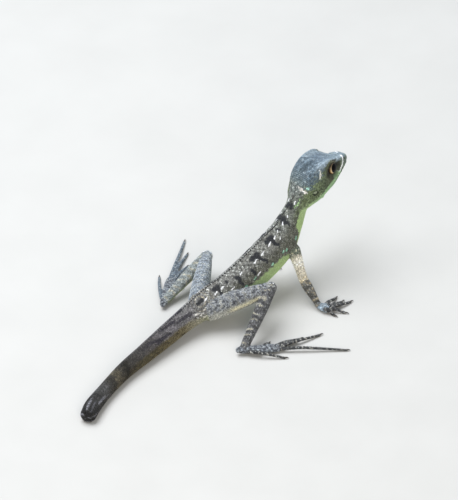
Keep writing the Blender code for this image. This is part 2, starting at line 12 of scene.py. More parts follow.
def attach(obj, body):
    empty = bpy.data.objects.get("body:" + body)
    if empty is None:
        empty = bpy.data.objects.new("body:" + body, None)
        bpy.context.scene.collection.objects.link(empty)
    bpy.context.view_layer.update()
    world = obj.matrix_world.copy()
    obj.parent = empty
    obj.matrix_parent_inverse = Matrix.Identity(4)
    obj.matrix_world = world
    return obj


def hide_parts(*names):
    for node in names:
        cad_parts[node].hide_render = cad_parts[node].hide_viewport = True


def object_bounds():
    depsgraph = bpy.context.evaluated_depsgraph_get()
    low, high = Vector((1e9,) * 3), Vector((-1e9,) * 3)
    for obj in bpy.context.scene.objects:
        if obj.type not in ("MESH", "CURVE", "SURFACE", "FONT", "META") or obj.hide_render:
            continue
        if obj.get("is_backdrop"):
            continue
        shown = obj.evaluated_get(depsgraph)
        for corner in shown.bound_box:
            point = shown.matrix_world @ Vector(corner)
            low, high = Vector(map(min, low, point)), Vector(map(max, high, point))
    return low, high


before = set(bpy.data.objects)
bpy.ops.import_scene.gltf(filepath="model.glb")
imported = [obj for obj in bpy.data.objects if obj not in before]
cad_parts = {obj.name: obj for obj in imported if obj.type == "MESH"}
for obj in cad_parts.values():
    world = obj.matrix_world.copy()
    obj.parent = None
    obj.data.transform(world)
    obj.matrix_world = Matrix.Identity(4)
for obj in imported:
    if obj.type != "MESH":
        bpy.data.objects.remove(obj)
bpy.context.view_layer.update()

# The floor that the animal stands on, a wide pale sheet of matt card, with soft light from a large panel
# overhead and a smaller one at the side. The camera looks down from behind the animal's right side.
MM = 0.001
FLOOR_REACH = 3.0
VIEW_TARGET = Vector((0.0215, 0.0100, 0.0285))
VIEW_AZIMUTH = math.radians(-45)
VIEW_ELEVATION = math.radians(38)
VIEW_DISTANCE = 7.0
VIEW_HEIGHT = 0.225  # of the floor and animal that the frame takes in, square to the view
SENSOR = 36.0  # width of the camera's picture plane
FAR_CLIP = 40
FLOOR_TONES = ("#b2b0ab", "#bbb9b4")


def linear(code):
    """A colour written in sRGB hex, as linear red, green and blue."""
    parts = [int(code[i : i + 2], 16) / 255 for i in (1, 3, 5)]
    return tuple(c / 12.92 if c <= 0.04045 else ((c + 0.055) / 1.055) ** 2.4 for c in parts)


def node(tree, kind, links=(), **settings):
    """Adds a node, sets its properties and sockets, and links other sockets into it."""
    made = tree.nodes.new(kind)
    for name, value in settings.items():
        if hasattr(made, name):
            setattr(made, name, value)
        else:
            socket = made.inputs[name.replace("_", " ")]
            socket.default_value = value
    for name, source in links:
        tree.links.new(source, made.inputs[name])
    return made


def shader_of(name, **settings):
    """A new material with its Principled shader's constants set on the shader's own sockets."""
    material = bpy.data.materials.new(name)
    material.use_nodes = True
    shader = material.node_tree.nodes["Principled BSDF"]
    for key, value in settings.items():
        shader.inputs[key.replace("_", " ")].default_value = value
    return material, material.node_tree, shader


def noise(tree, scale, detail=3.0):
    """A noise over the object's own space."""
    place = node(tree, "ShaderNodeTexCoord").outputs["Object"]
    return node(tree, "ShaderNodeTexNoise", [("Vector", place)], Scale=scale, Detail=detail).outputs["Fac"]


def mottled(tree, shader, scale, tones):
    """Lets a shader's colour wander between two tones."""
    mix = node(tree, "ShaderNodeMixRGB", [("Fac", noise(tree, scale))])
    for name, code in zip(("Color1", "Color2"), tones):
        mix.inputs[name].default_value = (*linear(code), 1)
    tree.links.new(mix.outputs[0], shader.inputs["Base Color"])


def graded(tree, shader, colour, factor):
    """Sets a shader's colour to another one, made lighter and darker by a factor."""
    mixed = node(tree, "ShaderNodeVectorMath", [("Vector", colour)], operation="SCALE")
    tree.links.new(factor, mixed.inputs["Scale"])
    tree.links.new(mixed.outputs["Vector"], shader.inputs["Base Color"])


def object_from(bm, name):
    """The bmesh as an object at the origin."""
    mesh = bpy.data.meshes.new(name)
    bm.to_mesh(mesh)
    bm.free()
    piece = bpy.data.objects.new(name, mesh)
    bpy.context.scene.collection.objects.link(piece)
    return piece


bm = bmesh.new()
bmesh.ops.create_grid(bm, x_segments=8, y_segments=8, size=FLOOR_REACH)
floor = object_from(bm, "floor")
# Card: pressed from pulp, matt, with a faint mottle a few centimetres wide.
card, tree, shader = shader_of("pale_card", Roughness=0.85)
mottled(tree, shader, 30.0, FLOOR_TONES)
floor.data.materials.append(card)
floor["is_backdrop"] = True

world = bpy.data.worlds.new("studio")
bpy.context.scene.world = world
world.use_nodes = True
sky = world.node_tree.nodes["Background"].inputs
sky["Color"].default_value = (*linear("#dfe8f2"), 1)
sky["Strength"].default_value = 0.70


def panel(name, place, aim, size, power, colour):
    """A soft rectangular light at a place, turned to face a point."""
    light = bpy.data.lights.new(name, "AREA")
    light.shape = "RECTANGLE"
    light.size, light.size_y = size
    light.energy = power
    light.color = linear(colour)
    lamp = bpy.data.objects.new(name, light)
    lamp.location = place
    lamp.rotation_euler = (Vector(aim) - Vector(place)).to_track_quat("-Z", "Y").to_euler()
    bpy.context.scene.collection.objects.link(lamp)


panel("overhead_panel", (-0.10, 0.35, 0.95), (0, 0, 0.02), (0.9, 0.7), 16.5, "#f4f8ff")
panel("side_panel", (-0.55, -0.75, 0.55), (0, 0, 0.02), (0.5, 0.5), 5.2, "#fff6ea")

camera = bpy.data.objects.new("camera", bpy.data.cameras.new("camera"))
bpy.context.scene.collection.objects.link(camera)
toward = Vector(
    (
        math.sin(VIEW_AZIMUTH) * math.cos(VIEW_ELEVATION),
        -math.cos(VIEW_AZIMUTH) * math.cos(VIEW_ELEVATION),
        math.sin(VIEW_ELEVATION),
    )
)
camera.location = VIEW_TARGET + toward * VIEW_DISTANCE
camera.rotation_euler = (-toward).to_track_quat("-Z", "Y").to_euler()
camera.data.lens = SENSOR * VIEW_DISTANCE / VIEW_HEIGHT
camera.data.clip_end = FAR_CLIP
bpy.context.scene.camera = camera
bpy.context.scene.view_settings.view_transform = "Standard"

# The skin: one closed hide over head, neck, trunk, tail, limbs and digits. It is lofted along the spine,
# the head and each limb, grown together, and smoothed where the limbs leave the trunk.
CENTRE = np.array([-0.7, -0.7, 0.0])
# From the tail's end to the neck: the middle's place, the half width, the height above the middle and depth
# below it, and how round the back is, 2 for an oval and less for one with a keel.
SPINE = [
    (-85.85, -8.33, 3.5, 3.6, 3.5, 3.6, 1.8),
    (-79.0, -4.9, 3.5, 3.9, 3.7, 3.6, 1.8),
    (-69.0, -1.5, 3.5, 3.5, 3.7, 3.6, 1.7),
    (-53.0, 2.4, 4.0, 3.6, 4.7, 4.1, 1.6),
    (-39.0, 4.0, 4.7, 3.9, 5.6, 4.7, 1.55),
    (-24.0, 5.4, 5.9, 4.4, 6.6, 5.3, 1.5),
    (-11.0, 6.0, 7.7, 4.8, 7.2, 5.7, 1.5),
    (1.0, 5.2, 10.4, 6.0, 8.4, 6.8, 1.45),
    (11.0, 2.8, 13.5, 6.6, 9.3, 8.1, 1.45),
    (22.0, 1.2, 16.6, 7.3, 11.0, 9.7, 1.45),
    (34.0, 1.0, 20.2, 7.6, 11.7, 10.3, 1.45),
    (45.0, 1.4, 24.6, 7.1, 11.4, 9.9, 1.5),
    (51.8, 2.0, 31.0, 5.6, 8.8, 7.5, 1.55),
    (56.6, 2.1, 38.3, 4.5, 6.3, 6.4, 1.7),
    (61.0, 2.9, 44.8, 6.6, 6.5, 9.2, 1.9),
]
HEAD_LENGTH = 28.0
HEAD_STATIONS = 4
SNOUT = np.array([86.8, 0.9, 50.8])
HEAD_TURN = math.radians(-6.5)
HEAD_PITCH = math.radians(10.0)
# Sections of the head: back from the snout, the crown's height, then brow, cheek, lips and jaw as how far
# out and how high, the throat's height, and the depth of the line of the mouth.
HEAD = [
    (0.3, 1.1, 0.6, 1.0, 1.1, 0.3, 1.1, -0.5, 0.8, -1.1, -1.3, 0.10),
    (1.8, 2.2, 1.5, 2.1, 2.2, 0.7, 2.3, -0.8, 1.7, -2.1, -2.4, 0.30),
    (4.3, 3.1, 2.5, 3.0, 3.4, 1.0, 3.6, -1.2, 2.9, -3.0, -3.5, 0.40),
    (8.0, 4.3, 3.7, 4.7, 4.7, 1.2, 5.2, -1.9, 4.4, -4.1, -4.8, 0.40),
    (12.0, 7.2, 5.6, 9.2, 6.1, 2.6, 6.7, -2.7, 5.9, -5.2, -5.9, 0.40),
    (15.8, 8.8, 6.0, 10.1, 7.1, 2.9, 7.5, -3.3, 6.8, -5.9, -6.5, 0.40),
    (20.0, 9.3, 5.6, 9.6, 7.9, 2.2, 8.2, -3.9, 7.7, -6.3, -6.8, 0.35),
    (24.0, 8.7, 4.9, 7.8, 8.1, 1.0, 8.1, -4.3, 8.4, -6.6, -7.0, 0.0),
    (28.0, 6.6, 4.1, 5.1, 6.5, 1.0, 6.9, -3.2, 7.2, -6.3, -7.6, 0.0),
    (31.0, 6.0, 3.8, 4.4, 5.8, 0.8, 6.1, -2.7, 5.8, -6.0, -8.0, 0.0),
]
BROW_UP, LIP_OUT, LIP_UP = 3, 6, 7  # columns of the sections
HEAD_FLOOR = 36.0  # of all that lies so far forward, only the head is above this height
# The crest of the head: back, the top's height and the width's share. Its flank runs down and out from there.
CREST = [(14.0, 8.2, 0.5), (17.5, 10.3, 0.7), (21.0, 11.3, 0.8), (24.5, 10.7, 0.7), (26.6, 8.6, 0.5)]
CREST_FLANK = ((0.6, 1.0), (2.2, 1.7), (3.6, 2.2))
EYE_PLACE = (11.6, 3.2, 2.9)
ORBIT_RADIUS = 3.6
BEND_REACH = 0.5
# Shoulder or hip, elbow or knee, wrist or ankle, and the ball of the hand or foot, on the right and the left.
ARMS = {
    -1: ((47.9, -4.9, 21.4), (45.4, -13.4, 10.8), (44.2, -24.5, 2.6), (46.1, -28.2, 1.5)),
    1: ((46.5, 6.0, 20.7), (37.1, 12.9, 13.5), (45.6, 17.3, 2.6), (48.8, 15.9, 1.5)),
}
LEGS = {
    -1: ((0.2, 1.4, 9.4), (22.9, -15.3, 19.6), (-2.7, -23.1, 2.5), (10.4, -32.4, 1.5)),
    1: ((0.9, 9.7, 9.4), (25.9, 28.4, 11.7), (-3.0, 26.9, 2.5), (11.6, 36.6, 1.5)),
}
FINGERTIPS = {
    -1: [(55.1, -24.5), (55.4, -28.3), (57.9, -31.0), (50.6, -35.0), (45.8, -33.0)],
    1: [(47.9, 11.2), (52.4, 9.4), (56.2, 12.0), (58.4, 16.2), (56.4, 21.0)],
}
TOETIPS = {
    -1: [(10.6, -26.4), (23.0, -34.0), (31.2, -38.2), (31.8, -54.4), (8.3, -38.8)],
    1: [(10.4, 29.8), (23.8, 39.2), (30.3, 45.6), (36.2, 53.2), (9.6, 42.6)],
}
UPPER_ARM_RADII = (3.0, 2.7, 2.3, 2.15)
FOREARM_RADII = (2.15, 2.25, 1.75, 1.35)
THIGH_RADII = (5.1, 5.1, 4.35, 2.85)
THIGH_FLATNESS = 0.8
SHANK_RADII = (2.7, 2.9, 2.45, 1.85)
PALM_HALF_WIDTH = 2.6
SOLE_HALF_WIDTH = 2.7
PAD_HALF_HEIGHT = 1.35
FINGER_RADIUS = 0.88
TOE_RADIUS = 0.85
TIP_SHARE = 0.72
KNUCKLE_LIFT = 0.9
DIGIT_FLATNESS = 0.9
# Along a digit: the share of its length, of the knuckles' lift and of its radius.
DIGIT = ((0, 0.2, 1.05), (0.35, 1.0, 1.0), (0.7, 0.55, 0.85), (1, 0, TIP_SHARE))
# Along a palm or sole: the share of its length, of its half width and of its half height.
PAD = ((-0.12, 0.55, 1.1), (0.3, 0.75, 1.1), (0.75, 0.98, 1.0), (1.0, 0.9, 0.92))
# Where the digits leave it: the share of its length, and of its half width towards the inner side.
HAND_ROOTS = ((0.55, 0.62), (0.95, 0.45), (1.05, 0.05), (0.95, -0.4), (0.6, -0.62))
FOOT_ROOTS = ((0.6, 0.6), (0.93, 0.48), (1.03, 0.1), (0.97, -0.37), (0.12, -0.62))
FINGER_BOWS = (0.3, 0.5, 0.6, -0.5, -0.3)
TOE_BOWS = (0.3, 0.2, 0.3, -0.2, 0.4)
SKIN_GRAIN = 0.42  # side of the hide mesh's faces
SAMPLE_STEP = 0.6
DOME_ANGLES = (22, 45, 68, 84)
SMOOTHING = (("", 3), ("blend", 26))  # rounds of smoothing, everywhere and in the named group
SIDES = ((1, "left"), (-1, "right"))
COAT_DEPTH = 0.08  # the hide lies this far inside the solids, under its scales


def placed(points):
    """Table millimetres as metres from the origin."""
    return (np.asarray(points, float) - CENTRE) * MM


def between(a, b, c, d, t):
    """Places at shares t of the way from b to c, on smooth curves through all four."""
    return 0.5 * (2 * b + (c - a) * t + (2 * a - 5 * b + 4 * c - d) * t**2 + (3 * b - a - 3 * c + d) * t**3)


def curve_at(rows, u):
    """A smooth curve through the rows, read at each u, counted in rows."""
    rows = np.asarray(rows, float)
    u = np.atleast_1d(np.asarray(u, float))
    i = np.clip(np.floor(u).astype(int), 0, len(rows) - 2)
    t = (u - i)[:, None]
    padded = np.vstack([2 * rows[0] - rows[1], rows, 2 * rows[-1] - rows[-2]])
    return between(*(padded[i + k] for k in range(4)), t)


def column(value, rows, k=1):
    """One column of the rows, read in straight steps at values of their first one."""
    return np.interp(value, [row[0] for row in rows], [row[k] for row in rows])


def unit(v):
    """The vectors, each at a length of one."""
    return v / np.maximum(np.linalg.norm(v, axis=-1, keepdims=True), 1e-12)


def distance(points, place):
    """How far each point lies from a place."""
    return np.linalg.norm(points - place, axis=1)


def length_along(middle):
    """How far along a row of places each one lies."""
    return np.concatenate([[0], np.cumsum(np.linalg.norm(np.diff(middle, axis=0), axis=1))])


def sides_of(forward):
    """Left and up directions, square to each forward one."""
    left = unit(np.cross([0.0, 0.0, 1.0], forward))
    return left, np.cross(forward, left)


HEAD_FORWARD = np.array(
    [
        math.cos(HEAD_PITCH) * math.cos(HEAD_TURN),
        math.cos(HEAD_PITCH) * math.sin(HEAD_TURN),
        math.sin(HEAD_PITCH),
    ]
)
HEAD_LEFT, HEAD_UP = sides_of(HEAD_FORWARD)
STEP_BACK = HEAD_LENGTH / HEAD_STATIONS
LINE = [row[:3] for row in SPINE]
LINE += [tuple(SNOUT - HEAD_FORWARD * (HEAD_LENGTH - STEP_BACK * k)) for k in range(1, HEAD_STATIONS + 1)]
HEAD_START = len(SPINE) - 1


def head_place(back, out, up):
    """A place on the head: back from the snout, to the animal's left, and up."""
    back, out, up = (np.asarray(v, float)[..., None] for v in (back, out, up))
    return SNOUT - HEAD_FORWARD * back + HEAD_LEFT * out + HEAD_UP * up


def beside(place, side):
    """A place given for the head's left side, on that side, 1, or the right one, -1."""
    return head_place(place[0], side * place[1], place[2])


def head_measure(points):
    """How far back from the snout, to the left and up each point lies."""
    away = points - SNOUT
    return -away @ HEAD_FORWARD, away @ HEAD_LEFT, away @ HEAD_UP


def spine_frames(u):
    """Middle, forward, left and up at each station of the spine."""
    last = len(LINE) - 1
    ahead = curve_at(LINE, np.minimum(u + BEND_REACH, last))
    behind = curve_at(LINE, np.maximum(u - BEND_REACH, 0))
    forward = unit(ahead - behind)
    return (curve_at(LINE, u), forward, *sides_of(forward))


def evenly(rows, first, last, step):
    """Stations between two, an even distance apart along the curve."""
    fine = np.linspace(first, last, 1500)
    run = length_along(curve_at(rows, fine))
    count = max(int(round(run[-1] / step)), 2)
    return np.interp(np.linspace(0, run[-1], count + 1), run, fine)


def ovals(middle, left, up, half_width, above, below, count, roof=2.0):
    """A ring of points round each middle, from the top round by the left."""
    angle = np.pi / 2 - 2 * np.pi * np.arange(count) / count
    across = np.cos(angle)
    rise = np.sin(angle)
    power = np.where(rise > 0, 2 / np.asarray(roof), 1.0)
    side = np.sign(across) * np.abs(across) ** power * half_width[:, None]
    height = np.sign(rise) * np.abs(rise) ** power * np.where(rise > 0, above[:, None], below[:, None])
    return middle[:, None] + left[:, None] * side[..., None] + up[:, None] * height[..., None]


def tube_of(name, middle, forward, left, up, rings, u):
    """What later sections need to know of one length of the body."""
    frames = {"middle": middle, "forward": forward, "left": left, "up": up}
    return {"name": name, "rings": rings, "u": u, "run": length_along(middle), **frames}


def limb_tube(name, rows, count):
    """A limb piece through rows of a place, a half width and a half height."""
    u = evenly([row[:3] for row in rows], 0, len(rows) - 1, SAMPLE_STEP * 0.8)
    read = curve_at(rows, u)
    ahead = curve_at(rows, np.minimum(u + 0.05, len(rows) - 1))[:, :3]
    behind = curve_at(rows, np.maximum(u - 0.05, 0))[:, :3]
    forward = unit(ahead - behind)
    left, up = sides_of(forward)
    rings = ovals(read[:, :3], left, up, read[:, 3], read[:, 4], read[:, 4], count)
    return tube_of(name, read[:, :3], forward, left, up, rings, u)


def domed(tube, first, last, depth=1.0):
    """The rings of a tube with rounded ends added where asked, as deep as they are round or flatter."""
    rings = tube["rings"]
    parts = [rings]
    for asked, end, sign in ((first, 0, -1), (last, -1, 1)):
        if not asked:
            continue
        middle = tube["middle"][end]
        spokes = rings[end] - middle
        reach = np.linalg.norm(spokes, axis=1).min() * depth
        caps = []
        for angle in np.radians(DOME_ANGLES):
            ring = middle + spokes * math.cos(angle)
            caps.append(ring + tube["forward"][end] * sign * reach * math.sin(angle))
        if end == 0:
            parts.insert(0, np.array(caps[::-1]))
        else:
            parts.append(np.array(caps))
    return np.concatenate(parts)


def wrap(bm, rings):
    """A closed tube through rings of points: a grid wrapped round them, welded along its seam and capped."""
    count = len(rings[0])
    made = bmesh.ops.create_grid(bm, x_segments=count, y_segments=len(rings) - 1, size=1)["verts"]
    places = placed(rings)
    for k, vert in enumerate(made):
        vert.co = places[k // (count + 1)][k % (count + 1) % count]
    bmesh.ops.remove_doubles(bm, verts=made, dist=1e-7)
    edges = {edge for vert in made if vert.is_valid for edge in vert.link_edges if edge.is_boundary}
    bmesh.ops.holes_fill(bm, edges=list(edges))


def sphere(bm, place, radius, segments=24):
    """Adds a ball at a place."""
    there = Matrix.Translation(Vector(placed(place)))
    bmesh.ops.create_uvsphere(
        bm, u_segments=segments, v_segments=segments // 2, radius=radius * MM, matrix=there
    )


# The trunk, from the tail's blunt end into the head.
u = evenly(LINE, 0, HEAD_START + 0.2, SAMPLE_STEP)
middle, forward, left, up = spine_frames(u)
row = curve_at(SPINE, np.minimum(u, HEAD_START))
rings = ovals(middle, left, up, row[:, 3], row[:, 4], row[:, 5], 48, row[:, 6:])
trunk = tube_of("trunk", middle, forward, left, up, rings, u)


def head_sections(back):
    """Closed sections of the head, as distances out and up, from the crown round by the left."""
    stations = [row[0] for row in HEAD]
    read = curve_at(HEAD, np.interp(back, stations, np.arange(len(HEAD))))
    crown, brow, brow_up, cheek, cheek_up, lip, lip_up, jaw, jaw_up, throat, groove = read.T[1:]
    lip_half = np.where(groove > 0.02, 0.42, 0.7)
    zero = np.zeros_like(back)
    half = [
        (zero, crown),
        (brow * 0.55, crown * 0.55 + brow_up * 0.45),
        (brow, brow_up),
        (brow * 0.4 + cheek * 0.62, brow_up * 0.55 + cheek_up * 0.45),
        (cheek, cheek_up),
        (lip, lip_up + lip_half),
        (lip - np.maximum(groove, 0), lip_up),
        (lip * 0.985 - 0.05, lip_up - lip_half),
        (jaw * 0.6 + lip * 0.4, jaw_up * 0.7 + lip_up * 0.3),
        (jaw * 0.86, jaw_up),
        (jaw * 0.5, throat * 0.97),
        (zero, throat),
    ]
    right = [(-out, rise) for out, rise in reversed(half[1:-1])]
    return np.array(half + right).transpose(2, 0, 1)


def rounded(sections, times):
    """Closed sections with more points, on smooth curves through the old ones."""
    count = sections.shape[1]
    k = np.arange(count * times) / times
    i = k.astype(int)
    t = (k - i)[None, :, None]
    return between(*(sections[:, (i + step) % count] for step in (-1, 0, 1, 2)), t)


u = evenly(LINE, HEAD_START - 0.5, len(LINE) - 1.012, 0.45)
middle, forward, left, up = spine_frames(u)
back = np.maximum(HEAD_LENGTH - (u - HEAD_START) * STEP_BACK, HEAD[0][0])
sections = rounded(head_sections(back), 3)
rings = middle[:, None] + left[:, None] * sections[..., :1] + up[:, None] * sections[..., 1:]
skull = tube_of("head", middle, forward, left, up, rings, u)

crest_rings = []
for back, top, half in curve_at(CREST, np.linspace(0, len(CREST) - 1, 40)):
    flank = [(out * half, top - drop) for drop, out in CREST_FLANK]
    section = [(0.0, top)] + flank + [(-out, rise) for out, rise in reversed(flank)]
    crest_rings.append([head_place(back, out, rise) for out, rise in section])

tubes = [trunk, skull]
closed = [domed(trunk, True, False, 0.6), skull["rings"], np.array(crest_rings)]
# The jaw muscles, which fill the corner between jaw and neck: back, out, up, radius, and how far the neck's
# bend carries them to the right.
JAW_MUSCLE = [
    (16.0, 5.0, -3.9, 1.3, 0.0), (21.5, 5.9, -4.6, 2.45, 0.0), (26.5, 5.3, -5.3, 2.3, 0.7),
    (31.0, 3.7, -6.1, 1.9, 2.1), (36.0, 1.0, -8.4, 1.0, 3.4),
]
for side in (-1, 1):
    rows = []
    for back, out, up, size, sway in JAW_MUSCLE:
        rows.append((*head_place(back, side * out - sway, up), size, size))
    closed.append(domed(limb_tube("jaw_muscle", rows, 20), True, True))
# The floor of the throat between them, which carries the chin's line over into the neck: back, out, up, half
# its width and half its height.
THROAT_FLOOR = [
    (14.5, 0.0, -4.3, 3.2, 1.9), (17.5, 0.0, -4.4, 4.2, 2.6), (20.5, 0.0, -4.7, 4.6, 3.1),
    (23.5, -0.2, -5.1, 4.6, 3.3), (27.0, -0.8, -6.2, 3.8, 2.6),
]
rows = [(*head_place(*place), wide, high) for *place, wide, high in THROAT_FLOOR]
closed.append(domed(limb_tube("throat_floor", rows, 28), True, True))
joints = []


def limb_rows(start, end, radii, flatten=1.0):
    """Rows of a limb piece between two joints."""
    share = np.linspace(0, 1, len(radii))[:, None]
    places = np.array(start) + (np.array(end) - np.array(start)) * share
    radii = np.array(radii)[:, None]
    return np.hstack([places, radii * flatten, radii])


def digit_rows(base, tip, radius, bow):
    """A finger or toe that arches over its knuckles."""
    tip = np.array([*tip, radius * TIP_SHARE * DIGIT_FLATNESS])
    along = tip - base
    across = unit(np.array([-along[1], along[0], 0.0]))
    rows = []
    for share, lift, size in DIGIT:
        place = base + along * share + np.array([0, 0, KNUCKLE_LIFT * lift])
        place = place + across * bow * math.sin(math.pi * share)
        rows.append((*place, radius * size, radius * size * DIGIT_FLATNESS))
    return rows


digit_tubes = {}
for side, word in ((-1, "right"), (1, "left")):
    arm = (ARMS[side], UPPER_ARM_RADII, FOREARM_RADII, 1.0)
    hand = (FINGERTIPS[side], PALM_HALF_WIDTH, FINGER_RADIUS, HAND_ROOTS, FINGER_BOWS)
    leg = (LEGS[side], THIGH_RADII, SHANK_RADII, THIGH_FLATNESS)
    foot = (TOETIPS[side], SOLE_HALF_WIDTH, TOE_RADIUS, FOOT_ROOTS, TOE_BOWS)
    chains = ((("upper_arm", "forearm", "hand"), arm, hand), (("thigh", "shank", "foot"), leg, foot))
    for names, limb, end in chains:
        (root, bend, wrist, ball), upper_radii, lower_radii, flatness = limb
        tips, half_width, radius, roots, bows = end
        upper = limb_tube(f"{names[0]}_{word}", limb_rows(root, bend, upper_radii, flatness), 28)
        lower = limb_tube(f"{names[1]}_{word}", limb_rows(bend, wrist, lower_radii), 24)
        wrist, ball = np.array(wrist), np.array(ball)
        rows = []
        for share, width, height in PAD:
            rows.append((*(wrist + (ball - wrist) * share), half_width * width, PAD_HALF_HEIGHT * height))
        pad = limb_tube(f"{names[2]}_{word}", rows, 20)
        tubes += [upper, lower, pad]
        closed += [domed(upper, True, True), domed(lower, True, True), domed(pad, True, True)]
        joints += [(np.array(place), name, side) for place, name in zip((root, bend, wrist), names)]
        along = unit(ball - wrist)
        inner = unit(np.array([-along[1], along[0], 0.0]))
        for k, ((far, out), tip, bow) in enumerate(zip(roots, tips, bows)):
            base = wrist + (ball - wrist) * far + inner * half_width * -side * out
            rows = digit_rows(base, tip, radius, bow * side)
            digit = limb_tube(f"{names[2]}_{word}_digit_{k + 1}", rows, 14)
            tubes.append(digit)
            closed.append(domed(digit, True, True))
            digit_tubes[names[2], side, k] = digit

bm = bmesh.new()
for rings in closed:
    wrap(bm, rings)
for side in (-1, 1):
    sphere(bm, beside(EYE_PLACE, side), ORBIT_RADIUS)
for place, name, side in joints:
    if name in ("hand", "foot"):
        sphere(bm, place, (FOREARM_RADII if name == "hand" else SHANK_RADII)[-1] * 1.02, 20)
bmesh.ops.recalc_face_normals(bm, faces=bm.faces)
skin = object_from(bm, "skin")
grown = skin.modifiers.new("grown_together", "REMESH")
grown.mode = "VOXEL"
grown.voxel_size = SKIN_GRAIN * MM


def settle(piece):
    """Applies the modifiers of a piece."""
    bpy.context.view_layer.update()
    evaluated = piece.evaluated_get(bpy.context.evaluated_depsgraph_get())
    mesh = bpy.data.meshes.new_from_object(evaluated)
    piece.modifiers.clear()
    piece.data = mesh


settle(skin)


def vectors_of(items, name, kind=float):
    """Three numbers that each item of a mesh holds under a name."""
    flat = np.empty(len(items) * 3, dtype=kind)
    items.foreach_get(name, flat)
    return flat.reshape(-1, 3)


def corners_of(mesh):
    """The corners of a mesh in table millimetres."""
    return vectors_of(mesh.vertices, "co") / MM + CENTRE


# Skin is drawn smooth everywhere, and much more where a limb leaves the trunk or bends: how far out along the
# limb the middle of each such place lies, and its reach.
BLENDS = {
    "upper_arm": (0.5, 6.5),
    "thigh": (0.33, 9.0),
    "forearm": (0.0, 3.0),
    "shank": (0.0, 3.5),
    "hand": (0.0, 2.4),
    "foot": (0.0, 3.0),
}
corners = corners_of(skin.data)
softness = np.zeros(len(corners))
for place, name, side in joints:
    share, reach = BLENDS[name]
    if share:
        chain = ARMS[side] if name == "upper_arm" else LEGS[side]
        place = place + (np.array(chain[1]) - place) * share
    softness = np.maximum(softness, np.clip(1.6 - 1.6 * distance(corners, place) / reach, 0, 1))
neck_place = head_place(HEAD_LENGTH + 1.0, 0, 0)
softness = np.maximum(softness, np.clip(1.2 - distance(corners, neck_place) / 8.0, 0, 0.7))
back, out, rise = head_measure(corners)
from_throat = np.hypot(np.hypot(back - 25.5, 1.35 * out), rise + 7.5)
softness = np.maximum(softness, np.clip(1.7 - from_throat / 5.5, 0, 1.0))
group = skin.vertex_groups.new(name="blend")
for k in np.nonzero(softness > 0.01)[0]:
    group.add([int(k)], float(softness[k]), "REPLACE")
for group_name, times in SMOOTHING:
    smooth = skin.modifiers.new("smooth", "SMOOTH")
    smooth.factor = 0.5
    smooth.iterations = times
    smooth.vertex_group = group_name
settle(skin)
skin.vertex_groups.clear()

# The head's skin is cut finer, so that brow, lips, lids and nostrils stay crisp.
bm = bmesh.new()
bm.from_mesh(skin.data)
head_edges = []
neck_limit = HEAD_LENGTH - 2.5
for edge in bm.edges:
    middle = np.array((edge.verts[0].co + edge.verts[1].co) / 2) / MM + CENTRE
    if head_measure(middle)[0] < neck_limit and middle[2] > HEAD_FLOOR:
        head_edges.append(edge)
bmesh.ops.subdivide_edges(bm, edges=head_edges, cuts=1, smooth=1.0, use_grid_fill=True)
bmesh.ops.triangulate(bm, faces=[face for face in bm.faces if len(face.verts) > 4])
head_verts = list({vert for edge in head_edges if edge.is_valid for vert in edge.verts})
bmesh.ops.smooth_vert(
    bm, verts=head_verts, factor=0.5, use_axis_x=True, use_axis_y=True, use_axis_z=True
)
bm.to_mesh(skin.data)
bm.free()

# The hide lies a scale's depth inside the solids. Round the mouth, eyes, ears and nostrils it is drawn in.
GAZE_FORWARD = math.radians(18)
GAZE_UP = math.radians(8)
EYE_RADIUS = 3.1
EYE_OPENING = (math.radians(64), math.radians(53))  # half its length and height, seen from the eye's middle
UNDER_EYE = 2.55  # how far from the eye's centre the hide is drawn in behind the opening
LID_RADIUS = 3.5
NOSTRIL_PLACE = (2.6, 2.15, 1.5)
EAR_PLACE = (24.0, 7.5, -1.4)
EAR_RADIUS = 1.25
NOSTRIL_DEPTH = 0.5
EAR_DEPTH = 0.42
RIM_HEIGHT = 0.14  # of the low rims round ears and nostrils
MOUTH_DEPTH = 0.28
LIP_SWELL = 0.1
RIDGE_REACH = 1.2
EYE_REACH = 5.5  # all of the lids lies this near the eye's centre
# How much higher than the solids the skin and scales stand over snout and brows, by how far back.
SKULL_LIFT = [
    (0, 0.1), (1.5, 0.6), (3, 0.9), (6, 0.8), (8, 0.85), (9.5, 0.55), (11, 0.1), (12, -0.08),
    (15.8, -0.08), (18, 0),
]


def eye_frame(side):
    """The eye's centre, and the ways it looks, forward along the lids, and up."""
    centre = beside(EYE_PLACE, side)
    flat = HEAD_LEFT * side * math.cos(GAZE_FORWARD) + HEAD_FORWARD * math.sin(GAZE_FORWARD)
    axis = unit(flat * math.cos(GAZE_UP) + HEAD_UP * math.sin(GAZE_UP))
    ahead = unit(HEAD_FORWARD - axis * (HEAD_FORWARD @ axis))
    return centre, axis, ahead, np.cross(ahead, axis) * side


def lid_edge(turn):
    """The angle from the eye's axis at which its opening ends, each way round."""
    return 1 / np.hypot(np.cos(turn) / EYE_OPENING[0], np.sin(turn) / EYE_OPENING[1])


def around_eye(points, side):
    """How far points lie from an eye, how wide of its opening, 1 at the lids' edge, and which way."""
    centre, axis, ahead, above = eye_frame(side)
    away = points - centre
    far = np.linalg.norm(away, axis=1)
    tilt = np.arccos(np.clip(away @ axis / np.maximum(far, 0.1), -1, 1))
    turn = np.arctan2(away @ above, away @ ahead)
    return far, tilt / lid_edge(turn), turn


def ease(value, low, high):
    """0 below one limit and 1 above another, smoothly."""
    share = np.clip((value - low) / (high - low), 0, 1)
    return share * share * (3 - 2 * share)


def bell(value, middle, width):
    """1 at the middle, and less to both sides of it."""
    return np.exp(-(((value - middle) / width) ** 2))


